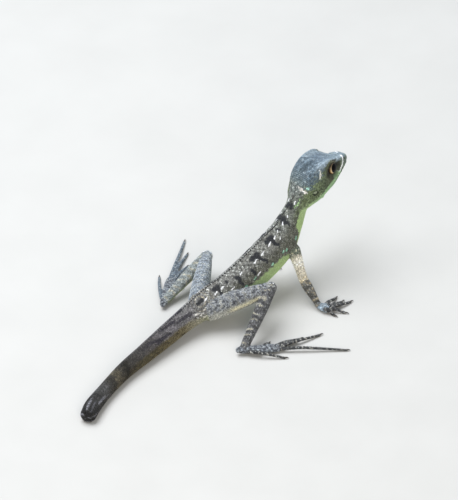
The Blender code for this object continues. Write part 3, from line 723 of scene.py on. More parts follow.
corners = corners_of(skin.data)
normals = vectors_of(skin.data.vertices, "normal")
back, out, rise = head_measure(corners)
on_head = (back < HEAD_LENGTH) & (corners[:, 2] > HEAD_FLOOR)
shift = np.full(len(corners), -COAT_DEPTH)
# Smoothing has drawn in the ridges of brow and snout: there the skin goes back out to the head's own lines.
around = skull["rings"].shape[1]
quads = []
for k in range((len(skull["rings"]) - 1) * around):
    after = k - around + 1 if k % around == around - 1 else k + 1
    quads.append((k, after, after + around, k + around))
form = BVHTree.FromPolygons([Vector(point) for point in skull["rings"].reshape(-1, 3)], quads)
for k in np.nonzero(on_head & (back < 26.0))[0]:
    nearest = form.find_nearest(Vector(corners[k]), RIDGE_REACH)[0]
    if nearest is not None:
        drawn_in = (np.array(nearest) - corners[k]) @ normals[k]
        shift[k] += max(drawn_in, 0.0) * (1 - ease(back[k], 20.0, 26.0))
lip_height = column(back, HEAD, LIP_UP)
mouth = bell(rise, lip_height, 0.2) * ease(back, 0.2, 1.2) * (1 - ease(back, 19.0, 21.5))
lips = bell(np.abs(rise - lip_height), 0.6, 0.3) * (1 - ease(back, 17.0, 20.0)) * ease(back, 0.4, 1.8)
shift += on_head * (LIP_SWELL * lips - MOUTH_DEPTH * mouth)
for side in (-1, 1):
    away = distance(corners, beside(NOSTRIL_PLACE, side))
    shift += on_head * (RIM_HEIGHT * bell(away, 0.62, 0.2) - NOSTRIL_DEPTH * bell(away, 0, 0.34))
    away = distance(corners, beside(EAR_PLACE, side))
    rim = RIM_HEIGHT * bell(away - EAR_RADIUS, 0.3, 0.3)
    shift += on_head * (rim - EAR_DEPTH * (1 - ease(away, 0.7, 1.3)))
brow_height = column(back, HEAD, BROW_UP)
lift = on_head * column(back, SKULL_LIFT)
lift *= ease(rise, 0.25 * brow_height, 0.85 * brow_height)
moved = corners + normals * shift[:, None] + HEAD_UP * lift[:, None]
for side in (-1, 1):
    centre = eye_frame(side)[0]
    far, opening, turn = around_eye(moved, side)
    near = on_head & (far < EYE_REACH)
    overhung = ease(np.sin(turn), -0.1, 0.5)
    outside = ease(opening, 0.92, 1.1)
    inside = near * (1 - outside)
    moved += (centre - moved) * (inside * np.clip(far - UNDER_EYE, 0, 9) / far)[:, None]
    under_lid = near * outside * (1 - ease(opening, 1.25 - 0.15 * overhung, 1.55 - 0.25 * overhung))
    moved += (centre - moved) * (under_lid * np.clip(far - (LID_RADIUS - 0.2), -2, 9) / far)[:, None]
moved[:, 2] = np.maximum(moved[:, 2], 0.0)
skin.data.vertices.foreach_set("co", placed(moved).ravel())
skin.data.update()

# What each place on the hide belongs to: a length of the body, how far along it, and how far round.
KINDS = [tube["name"].split("_left")[0].split("_right")[0] for tube in tubes]
for k, tube in enumerate(tubes):
    if "digit" in tube["name"]:
        KINDS[k] = "finger" if "hand" in tube["name"] else "toe"
owners = np.concatenate([np.full(tube["rings"][..., 0].size, k) for k, tube in enumerate(tubes)])
stations = np.concatenate([np.repeat(np.arange(len(tube["u"])), tube["rings"].shape[1]) for tube in tubes])
ring_tree = KDTree(len(owners))
for k, point in enumerate(np.concatenate([tube["rings"].reshape(-1, 3) for tube in tubes])):
    ring_tree.insert(point, k)
ring_tree.balance()


def body_places(points):
    """For each point its length of body, station, run in millimetres, share, angle from the top and side."""
    found = np.array([ring_tree.find(point)[1] for point in points])
    place = {"tube": owners[found]}
    for key in ("u", "run", "share", "angle", "out", "rise"):
        place[key] = np.zeros(len(points))
    for k, tube in enumerate(tubes):
        here = np.nonzero(place["tube"] == k)[0]
        at = stations[found[here]]
        away = points[here] - tube["middle"][at]
        run = tube["run"][at] + (away * tube["forward"][at]).sum(axis=1)
        place["run"][here] = run
        place["u"][here] = np.interp(run, tube["run"], tube["u"])
        place["share"][here] = np.clip(run / tube["run"][-1], 0, 1)
        place["out"][here] = (away * tube["left"][at]).sum(axis=1)
        place["rise"][here] = (away * tube["up"][at]).sum(axis=1)
    place["angle"] = np.degrees(np.arctan2(place["out"], place["rise"]))
    place["kind"] = np.array(KINDS)[place["tube"]]
    place["side"] = np.array([1 if "left" in tube["name"] else -1 for tube in tubes])[place["tube"]]
    return place


# The animal's colours: a grey-brown, finely speckled back with dark ovals and white flecks, lime flanks and
# throat, a slate head with a painted white highlight along the snout's edge and a painted blue sky reflection
# on its top, an ochre lower tail and barred legs.
BACK = [
    (0.0, "#2a2927"), (0.9, "#3a3937"), (1.9, "#4e4d4b"), (2.3, "#423f38"), (2.8, "#45413a"),
    (3.4, "#474440"), (4.3, "#5c5856"), (5.3, "#6d6a6b"), (6.4, "#868583"), (8.0, "#8f8f8b"),
    (10.5, "#8a8a84"), (12.2, "#82857d"), (13.2, "#7d8279"), (15.0, "#7b8486"),
]
LOWER = [
    (0.0, "#242320"), (1.9, "#38352d"), (2.8, "#3f392c"), (3.3, "#4d4735"), (4.4, "#635b42"),
    (5.6, "#736a51"), (6.3, "#9a9684"), (7.2, "#a6ad90"), (8.3, "#b7c59c"), (9.5, "#b3c793"),
    (11.2, "#b4c991"), (12.2, "#b4ca91"), (15.0, "#b7cc98"),
]
# The angle from the back's ridge at which the lower colour starts, and how soft that border is.
BORDER = [
    (0.0, 70, 30), (2.6, 66, 22), (3.5, 58, 16), (4.5, 58, 12), (6.0, 62, 12), (6.6, 86, 16), (7.5, 92, 14),
    (8.4, 84, 6), (9.3, 81, 4), (10.5, 83, 4), (10.8, 112, 8), (11.2, 122, 10), (11.75, 112, 8),
    (12.0, 74, 5), (12.5, 71, 5), (12.8, 70, 5), (13.0, 74, 6), (13.25, 92, 8), (13.6, 100, 8),
    (15.0, 105, 8),
]
# Dark marks on each side of the back: stations and angles along a stroke, with its half width.
DARK_MARKS = [
    [(12.90, 13, 0.8), (13.05, 9, 1.1)],
    [(12.19, 10, 1.4), (12.08, 13, 1.5), (12.03, 28, 0.9), (11.98, 36, 0.5)],
    [(10.35, 12, 1.3), (10.58, 13, 1.6), (10.55, 27, 0.8), (10.66, 39, 0.75), (10.6, 47, 0.35)],
    [(9.43, 16, 1.2), (9.66, 17, 1.5), (9.72, 30, 0.7), (9.76, 38, 0.75), (9.86, 48, 0.6), (9.82, 58, 0.4)],
    [(9.2, 39, 0.75), (9.24, 52, 0.8), (9.2, 60, 0.4)],
    [(8.52, 27, 0.9), (8.66, 34, 1.0), (8.58, 46, 0.8), (8.66, 60, 0.65)],
    [(7.55, 18, 1.2), (7.72, 19, 1.4), (7.74, 33, 0.5), (7.76, 42, 0.75)],
    [(6.6, 22, 0.8), (6.86, 22, 1.0)],
    [(11.3, 8, 0.5), (11.42, 12, 0.6)],
    [(8.1, 16, 0.4), (8.2, 24, 0.5)],
]
PALE_FLECKS = [
    (12.37, 19, 0.3), (11.84, 15, 0.3), (10.72, 19, 0.28), (10.31, 21, 0.34), (9.82, 25, 0.3),
    (9.46, 27, 0.33), (11.2, 14, 0.24), (13.15, 19, 0.3), (8.74, 27, 0.3), (7.86, 29, 0.34),
    (7.5, 33, 0.34), (6.97, 29, 0.32), (9.3, 66, 0.28), (10.9, 31, 0.2), (11.6, 24, 0.2), (8.2, 52, 0.22),
]
CONTRAST = 1.12  # deepens the darker tones under bright studio light
HIP_SPECKS = [
    [(6.33, 52, 0.45), (6.46, 60, 0.35)], [(6.5, 74, 0.5), (6.62, 70, 0.3)],
    [(6.62, 92, 0.45), (6.78, 88, 0.35)], [(6.3, 70, 0.35), (6.36, 76, 0.25)],
    [(6.9, 84, 0.4), (7.0, 80, 0.3)], [(6.72, 58, 0.3), (6.8, 56, 0.2)],
]
MINT_DOTS = [
    (9.95, 74, 0.5), (10.6, 72, 0.55), (10.76, 79, 0.5), (11.45, 96, 0.7), (8.68, 76, 0.6),
    (9.12, 70, 0.35),
]
# Dark bands round the lower tail: from and to which station, and how dark.
TAIL_BANDS = [(2.84, 3.08, "#221f16", 0.85), (2.22, 2.4, "#23201a", 0.5), (1.25, 1.45, "#1f1e1c", 0.6)]
# Marks of the head: back from the snout, out, up and half width, along each stroke.
# A painted highlight in white: the lit edge of the snout, from its top down to the front of the upper lip.
SNOUT_HIGHLIGHT = [
    (3.2, 1.2, 3.7, 0.3), (3.5, 2.1, 3.2, 0.48), (4.0, 3.0, 1.3, 0.42), (5.1, 3.7, 0.0, 0.42),
    (6.6, 4.5, -0.6, 0.36), (7.9, 5.0, -1.0, 0.25),
]
LIP_BAND = [
    (7.5, 4.9, -1.2, 0.5), (11.0, 6.3, -2.0, 0.75), (15.3, 7.2, -2.8, 0.85), (20.0, 7.9, -4.4, 0.8),
    (24.0, 7.9, -5.9, 0.8), (28.0, 6.6, -6.6, 0.8),
]
BROW_BAND = [
    (3.6, 1.3, 3.6, 0.9), (8.0, 3.2, 5.6, 1.3), (12.4, 5.2, 9.6, 1.7), (16.5, 5.4, 9.8, 2.2),
    (20.0, 5.4, 8.6, 0.9),
]
TEMPLE_MARK = [(18.9, 6.3, 8.4, 0.3), (19.1, 6.9, 6.9, 0.45), (19.6, 7.3, 5.6, 0.75), (20.2, 7.6, 4.7, 0.4)]
NAPE_BAR = [(30.4, 2.5, 4.6, 0.5), (29.5, 4.6, 3.2, 0.65), (28.6, 6.0, 1.2, 0.7), (28.2, 6.6, 0.2, 0.5)]
NECK_STREAK = [(31.5, 5.9, -0.6, 0.35), (32.5, 5.9, -2.6, 0.4), (35.5, 5.2, -4.2, 0.25)]
MINT_DOT = [(27.0, 6.3, 2.6, 0.6), (26.7, 6.4, 2.4, 0.5)]
LORE = [(5.2, 3.3, 2.6, 0.4), (7.2, 4.1, 3.2, 0.7)]
NOSTRIL_PATCH = [(2.3, 0.7, 2.4, 0.45), (2.0, 1.3, 2.0, 0.4)]
# How high on the head the crown's slate ends, and the throat's green begins, by how far back.
CROWN_LINE = [
    (0, 2.1), (3.8, 3.0), (6, 4.0), (8, 5.2), (10, 7.6), (12, 9.1), (14, 9.2), (16, 8.0), (18, 6.0),
    (22, 4.2), (26, 2.0), (30, 1.0),
]
THROAT_LINE = [(0, -1.2), (8, -2.4), (20, -3.9), (24, -4.4), (28, -5.3), (32, -6.0)]
# The crown's slate tones, paler and bluer than the cheeks: partly the head's own colour, partly a painted sky
# reflection on its lit top.
CROWN = [
    (0, "#8e9ca3"), (6, "#8a989f"), (13, "#7c8a95"), (19, "#72818b"), (25, "#72818a"), (31, "#7b847d"),
]
CHEEK = [
    (0, "#7f8c84"), (6, "#78826f"), (12, "#6f725b"), (18, "#66705a"), (25, "#7c8966"), (31, "#84906c"),
]
THROAT = [(0, "#8a9788"), (8, "#98b092"), (16, "#9dba92"), (22, "#afc89b"), (31, "#b7cc98")]
LIMB_GROUNDS = {
    "upper_arm": "#cbc3b2", "forearm": "#716f69", "hand": "#a2b0bb", "finger": "#494a4c",
    "thigh": "#8e9194", "shank": "#6a6a6b", "foot": "#7f8388", "toe": "#494a4c",
}
SPECKLE = [(0, 0.42), (2, 0.40), (4, 0.38), (6.5, 0.42), (12, 0.42), (14, 0.34)]


def drift(points, size, seed):
    """A smooth random field, about -1 to 1, that changes over size millimetres."""
    rng = np.random.default_rng(seed)
    total = np.zeros(len(points))
    for _ in range(10):
        way = unit(rng.normal(size=3)) * 2 * math.pi / (size * rng.uniform(0.75, 1.5))
        total += np.sin(points @ way + rng.uniform(0, 2 * math.pi))
    return total / 3.2


def ragged(points, size, amount, seed):
    """The points moved about a little, which roughens the edges of a mark."""
    return points + amount * np.stack([drift(points, size, seed + k) for k in range(3)], axis=1)


def over(base, code, amount):
    """A colour laid over others, by an amount from 0 to 1."""
    return base + (np.array(linear(code)) - base) * np.clip(amount, 0, 1)[:, None]


def along_stops(value, rows):
    """The colours at values between rows of a value and its colour."""
    shades = [(at, *linear(code)) for at, code in rows]
    return np.stack([column(value, shades, k) for k in (1, 2, 3)], axis=1)


def on_trunk(u, angle):
    """The place on the trunk at a station and an angle from the top."""
    i = int(np.argmin(np.abs(trunk["u"] - u)))
    away = trunk["rings"][i] - trunk["middle"][i]
    angles = np.degrees(np.arctan2(away @ trunk["left"][i], away @ trunk["up"][i]))
    order = np.argsort(angles)
    ring = trunk["rings"][i][order]
    return np.array([np.interp(angle, angles[order], ring[:, k], period=360) for k in range(3)])


def stroke(points, path, soft=0.25):
    """How much of a stroke, along places with half widths, covers each point."""
    nearest = np.full(len(points), 9.0)
    for (start, wide), (end, narrow) in zip(path, path[1:] + path[-1:]):
        way = end - start
        share = np.clip((points - start) @ way / max(way @ way, 1e-9), 0, 1)
        away = distance(points - start, way * share[:, None])
        nearest = np.minimum(nearest, away / (wide + (narrow - wide) * share))
    return 1 - ease(nearest, 1 - soft, 1 + soft)


def trunk_path(rows, side):
    """A stroke on the trunk, from stations and angles."""
    return [(on_trunk(u, side * angle), wide) for u, angle, wide in rows]


def head_path(rows, side):
    """A stroke on the head."""
    return [(beside(place, side), wide) for *place, wide in rows]


def lengthwise(place, squeeze):
    """Places squeezed along the body, where a random field turns into streaks along it."""
    return np.stack([place["run"] * squeeze, place["out"], place["rise"]], axis=1)


def trunk_colours(points, place):
    """Tail, trunk and neck."""
    u = place["u"]
    round_it = np.abs(place["angle"])
    streak = drift(lengthwise(place, 0.3), 2.2, 11)
    broad = drift(points, 9.0, 12)
    small = drift(points, 1.7, 13)
    fine = drift(lengthwise(place, 0.6), 0.85, 15)
    limit, soft = (column(u, BORDER, k) for k in (1, 2))
    tint = along_stops(u, BACK)
    on_back = 1 - ease(round_it, limit - 30, limit)
    tint = over(tint, "#56544d", 0.6 * ease(small + 0.35 * broad, 0.35, 1.0) * ease(u, 6.2, 7.2))
    tint = over(tint, "#a9a79e", 0.45 * ease(-small + 0.2 * broad, 0.6, 1.2) * ease(u, 6.2, 7.2))
    tint = over(tint, "#3f3f3f", 0.6 * ease(fine, 0.55, 1.1))
    tint = over(tint, "#d2d6d0", 0.6 * ease(-fine, 0.7, 1.2) * ease(u, 5.5, 7.2))
    # Painted shade: the upper flanks of body and neck darker and browner than the lit top of the back.
    tint = over(tint, "#5f5f50", 0.65 * ease(round_it, 24, 58) * ease(u, 7.0, 8.5))
    tint = over(tint, "#76835f", 0.6 * ease(round_it, 28, 50) * ease(u, 12.0, 12.8) * (0.6 + 0.4 * small))
    tail_dark = ease(streak, 0.15, 0.8) * (1 - ease(u, 6.0, 6.8))
    tint = over(tint, "#34313a", 0.8 * tail_dark * ease(u, 3.4, 4.6))
    tint = over(tint, "#8f8b8e", 0.5 * ease(-streak, 0.35, 1.0) * ease(u, 4.0, 5.0) * (1 - ease(u, 6.2, 7.0)))
    lower = along_stops(u, LOWER)
    lower = over(lower, "#3b3326", 0.75 * ease(streak + small * 0.5, 0.5, 1.1) * (1 - ease(u, 5.8, 6.4)))
    lower = over(lower, "#d3dcb4", 0.7 * ease(round_it, 125, 160) * ease(u, 6.4, 7.4))
    belly_soft = ease(round_it + 3.0 * small, limit - soft, limit + soft)
    tint = tint + (lower - tint) * belly_soft[:, None]
    wave = u + 0.05 * small + 0.0012 * (round_it - 40)
    for first, last, code, depth in TAIL_BANDS:
        band = ease(wave, first - 0.03, first + 0.1) * (1 - ease(wave, last - 0.02, last + 0.02))
        tint = over(tint, code, depth * band * (1 - ease(round_it, 85, 125)))
    tint = over(tint, "#6a6350", 0.5 * ease(wave, 2.42, 2.5) * (1 - ease(wave, 2.62, 2.8)))
    end_streak = drift(lengthwise(place, 0.12), 1.5, 14)
    tint = over(tint, "#191817", 0.75 * ease(end_streak, 0.1, 0.6) * (1 - ease(u, 0.8, 1.5)))
    tint = over(tint, "#7d7d82", 0.65 * ease(-end_streak, 0.3, 1.0) * (1 - ease(u, 1.2, 2.4)))
    speckle = column(u, SPECKLE) * (1 - 0.75 * belly_soft * ease(u, 6.5, 8.0))
    hips = bell(u, 6.9, 0.45) * on_back
    rings_there = np.sin(distance(points, on_trunk(6.76, -22)) * 2 * math.pi / 1.9)
    tint = over(tint, "#b3aa92", 0.6 * hips * ease(rings_there, 0.5, 0.9))
    rough = ragged(points, 1.1, 0.16, 51)
    for side in (-1, 1):
        half = np.sign(place["angle"]) == side
        for rows in HIP_SPECKS:
            tint = over(tint, "#f4efe6", 0.95 * stroke(rough, trunk_path(rows, side), 0.4) * half)
        for rows in DARK_MARKS:
            dark = stroke(rough, trunk_path(rows, side), 0.36) * half
            tint = over(tint, "#303237", 0.93 * dark)
            speckle = speckle * (1 - 0.6 * dark)
        for u0, angle, wide in PALE_FLECKS:
            path = trunk_path([(u0, angle, wide * 1.25), (u0 + 0.12, angle - 3, wide * 0.8)], side)
            fleck = stroke(points, path) * half
            tint = over(tint, "#ffffff", fleck)
            speckle = speckle * (1 - 0.8 * fleck)
        for u0, angle, wide in MINT_DOTS:
            path = trunk_path([(u0, angle, wide), (u0 + 0.06, angle - 2, wide * 0.8)], side)
            tint = over(tint, "#a9dcc0", 0.9 * stroke(points, path) * half)
    wet = 1 - ease(u, 1.6, 3.2)
    return tint, speckle, wet


def head_colours(points):
    """Crown, cheeks, lips and throat, and the front of the neck."""
    back, out, up = head_measure(points)
    small = drift(points, 1.4, 21)
    broad = drift(points, 6.0, 22)
    fine = drift(points, 0.8, 23)
    crown_line = column(back, CROWN_LINE)
    soft = 0.5 + 1.9 * ease(back, 13.0, 19.0)
    rough_up = up + (0.3 + soft * 0.5) * small + 0.3 * soft * fine
    over_line = ease(rough_up, crown_line - soft, crown_line + soft)
    ridge = column(back, BROW_BAND)
    inside_brows = (1 - ease(np.abs(out), ridge - 0.8, ridge + 0.2)) * ease(up, 1.0, 2.0)
    over_line = np.maximum(over_line, inside_brows)
    crown = along_stops(back, CROWN)
    crown = over(crown, "#56656f", 0.6 * ease(small + 0.5 * broad, 0.35, 1.1) * ease(back, 13, 18))
    crown = over(crown, "#adb7ba", 0.45 * ease(-small, 0.6, 1.2))
    crown = over(crown, "#48545c", 0.5 * ease(fine, 0.6, 1.1) * ease(back, 12, 17))
    for side in (-1, 1):
        band = stroke(points, head_path(BROW_BAND, side), 0.45) * (np.sign(out) == side)
        crown = over(crown, "#a3b0b8", 0.75 * band)
    cheek = along_stops(back, CHEEK)
    cheek = over(cheek, "#2f3729", 0.75 * ease(fine + 0.3 * small, 0.45, 1.0) * ease(back, 15, 19))
    cheek = over(cheek, "#a9b593", 0.6 * ease(-fine, 0.55, 1.1) * ease(back, 15, 19))
    tint = cheek + (crown - cheek) * over_line[:, None]
    edge = column(back, THROAT_LINE) + 0.3 * small
    below = 1 - ease(up, edge - 0.5, edge + 0.4)
    tint = tint + (along_stops(back, THROAT) - tint) * below[:, None]
    speckle = 0.20 + 0.16 * ease(back, 14, 20) * (1 - below) - 0.1 * below
    rough = ragged(points, 0.9, 0.3, 61)
    for side in (-1, 1):
        half = np.sign(out) == side
        tint = over(tint, "#545d4a", 0.8 * stroke(points, head_path(LORE, side), 0.5) * half)
        far, opening, turn = around_eye(points, side)
        near = half * (1 - ease(far, 5.0, 6.4))
        socket = near * (1 - ease(opening, 1.5, 2.1)) * (1 - over_line)
        tint = over(tint, "#5f5f49", 0.8 * socket)
        # Painted light on the lid folds: shade in the creases between them, and highlights on the crests of
        # the upper folds.
        fold = 0.5 + 0.5 * np.cos(2 * math.pi * (opening - 1.14) / 0.17)
        crease_shade = (1 - fold) * (1 - 0.7 * ease(opening, 1.2, 1.3)) * (opening < 1.55)
        tint = over(tint, "#26251a", 0.8 * socket * crease_shade)
        fold_highlight = fold**2 * (opening < 1.23) * ease(np.sin(turn), -0.5, 0.3)
        tint = over(tint, "#b0ac8c", 0.8 * socket * fold_highlight)
        tint = over(tint, "#1d1911", near * (1 - ease(opening, 1.02, 1.08)))
        band = stroke(points, head_path(LIP_BAND, side), 0.35) * half
        tint = over(tint, "#a9c79a", 0.92 * band)
        # Painted highlight along the snout's edge, kept off the lids.
        snout_highlight = stroke(points + 0.08 * small[:, None], head_path(SNOUT_HIGHLIGHT, side), 0.25) * half
        snout_highlight = snout_highlight * (1 - near * (1 - ease(opening, 1.5, 1.7)))
        tint = over(tint, "#ffffff", snout_highlight)
        speckle = speckle * (1 - 0.8 * np.maximum(snout_highlight, band))
        tint = over(tint, "#eae8de", stroke(rough, head_path(TEMPLE_MARK, side), 0.35) * half)
        tint = over(tint, "#46566a", 0.8 * stroke(points, head_path(NOSTRIL_PATCH, side)) * half)
        # Painted shade: the ear's recess round its drum darker.
        ear = distance(points, beside(EAR_PLACE, side))
        tint = over(tint, "#353c2f", 0.85 * (1 - ease(ear, 1.35, 1.9)))
        # Painted shade: each nostril's opening near-black.
        nostril = distance(points, beside(NOSTRIL_PLACE, side))
        tint = over(tint, "#151a1c", 1 - ease(nostril, 0.3, 0.5))
    # Painted shade: a dark line along the mouth, in the groove between the lips.
    mouth_line_shade = bell(up, column(back, HEAD, LIP_UP), 0.2) * (1 - ease(back, 19.5, 21.5)) * ease(back, 0.4, 1.0)
    tint = over(tint, "#2f3a33", 0.85 * mouth_line_shade)
    return tint, speckle, np.full(len(points), 0.12)


def nape_marks(points, tint):
    """The pale bar, streak and mint dot on each side, where head and neck meet."""
    rough = ragged(points, 0.9, 0.3, 61)
    out = head_measure(points)[1]
    for side in (-1, 1):
        half = np.sign(out) == side
        tint = over(tint, "#f2ede4", stroke(rough, head_path(NAPE_BAR, side), 0.35) * half)
        tint = over(tint, "#b4d49c", 0.85 * stroke(rough, head_path(NECK_STREAK, side)) * half)
        tint = over(tint, "#b9f2d8", stroke(points, head_path(MINT_DOT, side)) * half)
    return tint


def limb_colours(points, place):
    """Arms and legs, hands and feet."""
    kind = place["kind"]
    share = place["share"]
    run = place["run"]
    left = place["side"] > 0
    round_it = np.abs(place["angle"])
    inner = place["angle"] * place["side"]
    small = drift(points, 1.5, 31)
    broad = drift(points, 5.0, 32)
    bars = np.sin(2 * math.pi * run / 3.75 + 1.1 * broad + 0.35 * small)
    fine = drift(points, 0.8, 33)
    tint = np.tile(linear("#7f7f7a"), (len(points), 1))
    for name, code in LIMB_GROUNDS.items():
        tint[kind == name] = linear(code)
    speckle = np.full(len(points), 0.34)

    here = kind == "upper_arm"
    tint = over(tint, "#6f7566", here * (1 - ease(share + 0.06 * small, 0.16, 0.28)))
    tint = over(tint, "#ebe6d8", here * bell(share, 0.45, 0.15))
    tint = over(tint, "#b3a88a", 0.35 * here * ease(bars + 0.4 * small, 0.4, 0.9) * ease(share, 0.5, 0.6))
    tint = over(tint, "#e2d8bf", 0.5 * here * ease(-small, 0.4, 1.0))
    here = kind == "forearm"
    tint = over(tint, "#3a3832", 0.65 * here * ease(bars + 0.8 * small, 0.1, 1.0))
    tint = over(tint, "#b5a686", 0.6 * here * ease(-bars - 0.9 * small, 0.6, 1.3))
    tint = over(tint, "#cfc2a4", 0.9 * here * (1 - ease(share, 0.05, 0.14)))
    here = kind == "hand"
    tint = over(tint, "#3d4245", 0.55 * here * ease(small, 0.3, 0.9))
    tint = over(tint, "#b1b5b2", 0.5 * here * ease(-small, 0.4, 1.0))
    here = (kind == "finger") | (kind == "toe")
    digit_bars = np.sin(2 * math.pi * run / 2.3 + 1.5 * broad)
    tint = over(tint, "#363532", 0.55 * here * ease(digit_bars + 0.6 * small, -0.1, 0.8))
    tint = over(tint, "#b9b5aa", 0.6 * here * ease(-digit_bars - 0.5 * fine, 0.6, 1.2))
    # Painted reflection: the left toes tinted blue-grey, as glints of the sky on their wet scales.
    tint = over(tint, "#8b9dac", 0.35 * here * left * (kind == "toe"))
    here = kind == "thigh"
    tint = over(tint, "#9ca5ad", 0.7 * here * left)
    dark_bars = ease(bars + np.where(left, 0.4, 1.3) * small, 0.45, 1.2) * (1 - ease(round_it, 62, 100))
    tint = over(tint, "#37373c", np.where(left, 0.55, 0.75) * here * dark_bars)
    pale_bars = ease(-bars - 0.4 * small, 0.6, 1.1) * (1 - ease(round_it, 80, 110))
    tint = over(tint, "#b5b2a2", 0.45 * here * pale_bars)
    tint = over(tint, "#90918a", 0.8 * here * ease(round_it, 78, 105))
    tint = over(tint, "#c4c3ba", 0.75 * here * ease(round_it, 70, 95) * (1 - ease(share, 0.2, 0.45)))
    edge_stripe = bell(round_it, 110, 20) * ease(share, 0.22, 0.4) * (inner > 0)
    tint = over(tint, "#ece6c9", 0.95 * here * edge_stripe)
    speckle = speckle * (1 - 0.6 * here * edge_stripe)
    here = kind == "shank"
    tint = over(tint, "#a8b0ae", 0.75 * here * left)
    tint = over(tint, "#3c3937", np.where(left, 0.35, 0.6) * here * ease(bars + 0.7 * small, 0.0, 0.9))
    pale_bars = ease(-bars - 0.2 * small, 0.5, 0.9) * (1 - ease(np.abs(inner - 40), 55, 85))
    tint = over(tint, "#b0ab9a", 0.85 * here * pale_bars)
    tint = over(tint, "#93a36a", 0.8 * here * left * ease(round_it, 85, 115))
    here = kind == "foot"
    tint = over(tint, "#34343a", 0.8 * here * ease(small + 0.5 * bars, 0.2, 0.8))
    tint = over(tint, "#b2b8b8", 0.6 * here * ease(-small, 0.4, 1.0))
    limbs = (kind != "trunk") & (kind != "head")
    tint = over(tint, "#c9ccc8", 0.4 * limbs * ease(-fine, 0.75, 1.25))
    tint = over(tint, "#3a3a3b", 0.4 * limbs * ease(fine, 0.7, 1.2))
    knee = ease(share, 0.93, 1.0) * (kind == "thigh") + (1 - ease(share, 0.0, 0.08)) * (kind == "shank")
    tint = over(tint, "#d8dad4", 0.8 * knee * ease(small, 0.5, 0.9))
    return tint, speckle, np.full(len(points), 0.1)


def part_of(points, place, chosen):
    """The chosen points, and what is known of the place of each."""
    return points[chosen], {key: values[chosen] for key, values in place.items()}


def markings(points, seed):
    """The colour of each place on the animal, with its own scale's tone, and how wet it is."""
    place = body_places(points)
    tint, speckle, wet = limb_colours(points, place)
    along, _, up = head_measure(points)
    trunk_here = place["kind"] == "trunk"
    head_here = place["kind"] == "head"
    of_trunk = trunk_colours(*part_of(points, place, trunk_here))
    tint[trunk_here], speckle[trunk_here], wet[trunk_here] = of_trunk
    tint[head_here], speckle[head_here], wet[head_here] = head_colours(points[head_here])
    nape = (trunk_here | head_here) & (along > 24.0) & (along < 37.0)
    head_tint, head_speckle, _ = head_colours(points[nape])
    trunk_tint, trunk_speckle, _ = trunk_colours(*part_of(points, place, nape))
    low_side = ease(up[nape], -6.0, -1.0)
    share = ease(along[nape], 31.0 - 3.0 * low_side, 35.0 - 4.0 * low_side)[:, None]
    tint[nape] = nape_marks(points[nape], head_tint + (trunk_tint - head_tint) * share)
    speckle[nape] = head_speckle + (trunk_speckle - head_speckle) * share[:, 0]
    rng = np.random.default_rng(seed)
    own = rng.normal(size=len(points))
    tone = np.exp(speckle * (0.8 * np.clip(own, -2, 2) + 0.5 * drift(points, 1.2, 41)))
    return np.clip(tint * tone[:, None], 0, 1) ** CONTRAST, wet, place


def paint(mesh, tint, wet):
    """Keeps the colours on the mesh's corners, where its material reads them."""
    colour = mesh.attributes.new("tint", "FLOAT_COLOR", "POINT")
    colour.data.foreach_set("color", np.hstack([tint, np.ones((len(tint), 1))]).ravel())
    mesh.attributes.new("wet", "FLOAT", "POINT").data.foreach_set("value", wet)


corners = corners_of(skin.data)
tint, wet, _ = markings(corners, 5)
# Painted shade: the hide shows only between the scales and is painted at 0.6 of their colour, as the shade in
# those gaps.
paint(skin.data, tint * 0.6, wet)


def hide_material(name, grain, depth, dry):
    """Reptile hide: horny keratin, dull where dry and shiny where wet, with a grain in millimetres."""
    material, tree, shader = shader_of(name, Specular_IOR_Level=0.32)
    tint = node(tree, "ShaderNodeAttribute", attribute_name="tint")
    wet = node(tree, "ShaderNodeAttribute", attribute_name="wet")
    fine = noise(tree, 1 / (grain * MM))
    shade = node(tree, "ShaderNodeMapRange", [("Value", fine)], To_Min=0.78, To_Max=1.22)
    graded(tree, shader, tint.outputs["Color"], shade.outputs["Result"])
    gloss = node(tree, "ShaderNodeMapRange", [("Value", wet.outputs["Fac"])], To_Min=dry, To_Max=0.4)
    tree.links.new(gloss.outputs["Result"], shader.inputs["Roughness"])
    bump = node(tree, "ShaderNodeBump", [("Height", fine)], Strength=0.5, Distance=depth * MM)
    tree.links.new(bump.outputs["Normal"], shader.inputs["Normal"])
    return material


skin_material = hide_material("fine_scaled_hide", 0.25, 0.06, 0.6)
skin.data.materials.append(skin_material)
skin.data.shade_smooth()
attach(skin, "root")
FLESH = ["head", "neck", "torso", "tail_base", "tail_middle", "tail_end"]
for word in ("left", "right"):
    FLESH += [f"{part}_{word}" for part in ("upper_arm", "forearm", "hand", "thigh", "shank", "foot")]
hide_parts(*FLESH)

# The scales: small granules of horn in staggered rows over the whole hide, larger and flatter on the belly,
# longer and leaning back on the tail, and set closest on the digits.
ATLAS_WIDTH = 170.0  # millimetres of hide across the whole of the coat's own map
PATCH = 0.003  # each scale's patch on that map
COAT_PIECE = 17000  # scales to a piece
SPACING = {"trunk": 0.54, "head": 0.5, "finger": 0.42, "toe": 0.42, "hand": 0.5, "foot": 0.5}
LIMB_SPACING = 0.52
ROW_STEP = 0.87  # from row to row, in spacings
JITTER = 0.035  # how far each scale strays from its row, in spacings
ROOM = 0.68  # the least way from scale to scale, in spacings
FILL_ROOM = 0.46  # the same in millimetres, where no rows run
ROOM_CELL = 0.5
SUNK = 0.06  # how deep a scale's root lies in the hide
skin.data.calc_loop_triangles()
triangles = vectors_of(skin.data.loop_triangles, "vertices", np.int32)
normals = vectors_of(skin.data.vertices, "normal")
hide = BVHTree.FromPolygons([Vector(point) for point in corners], triangles.tolist())


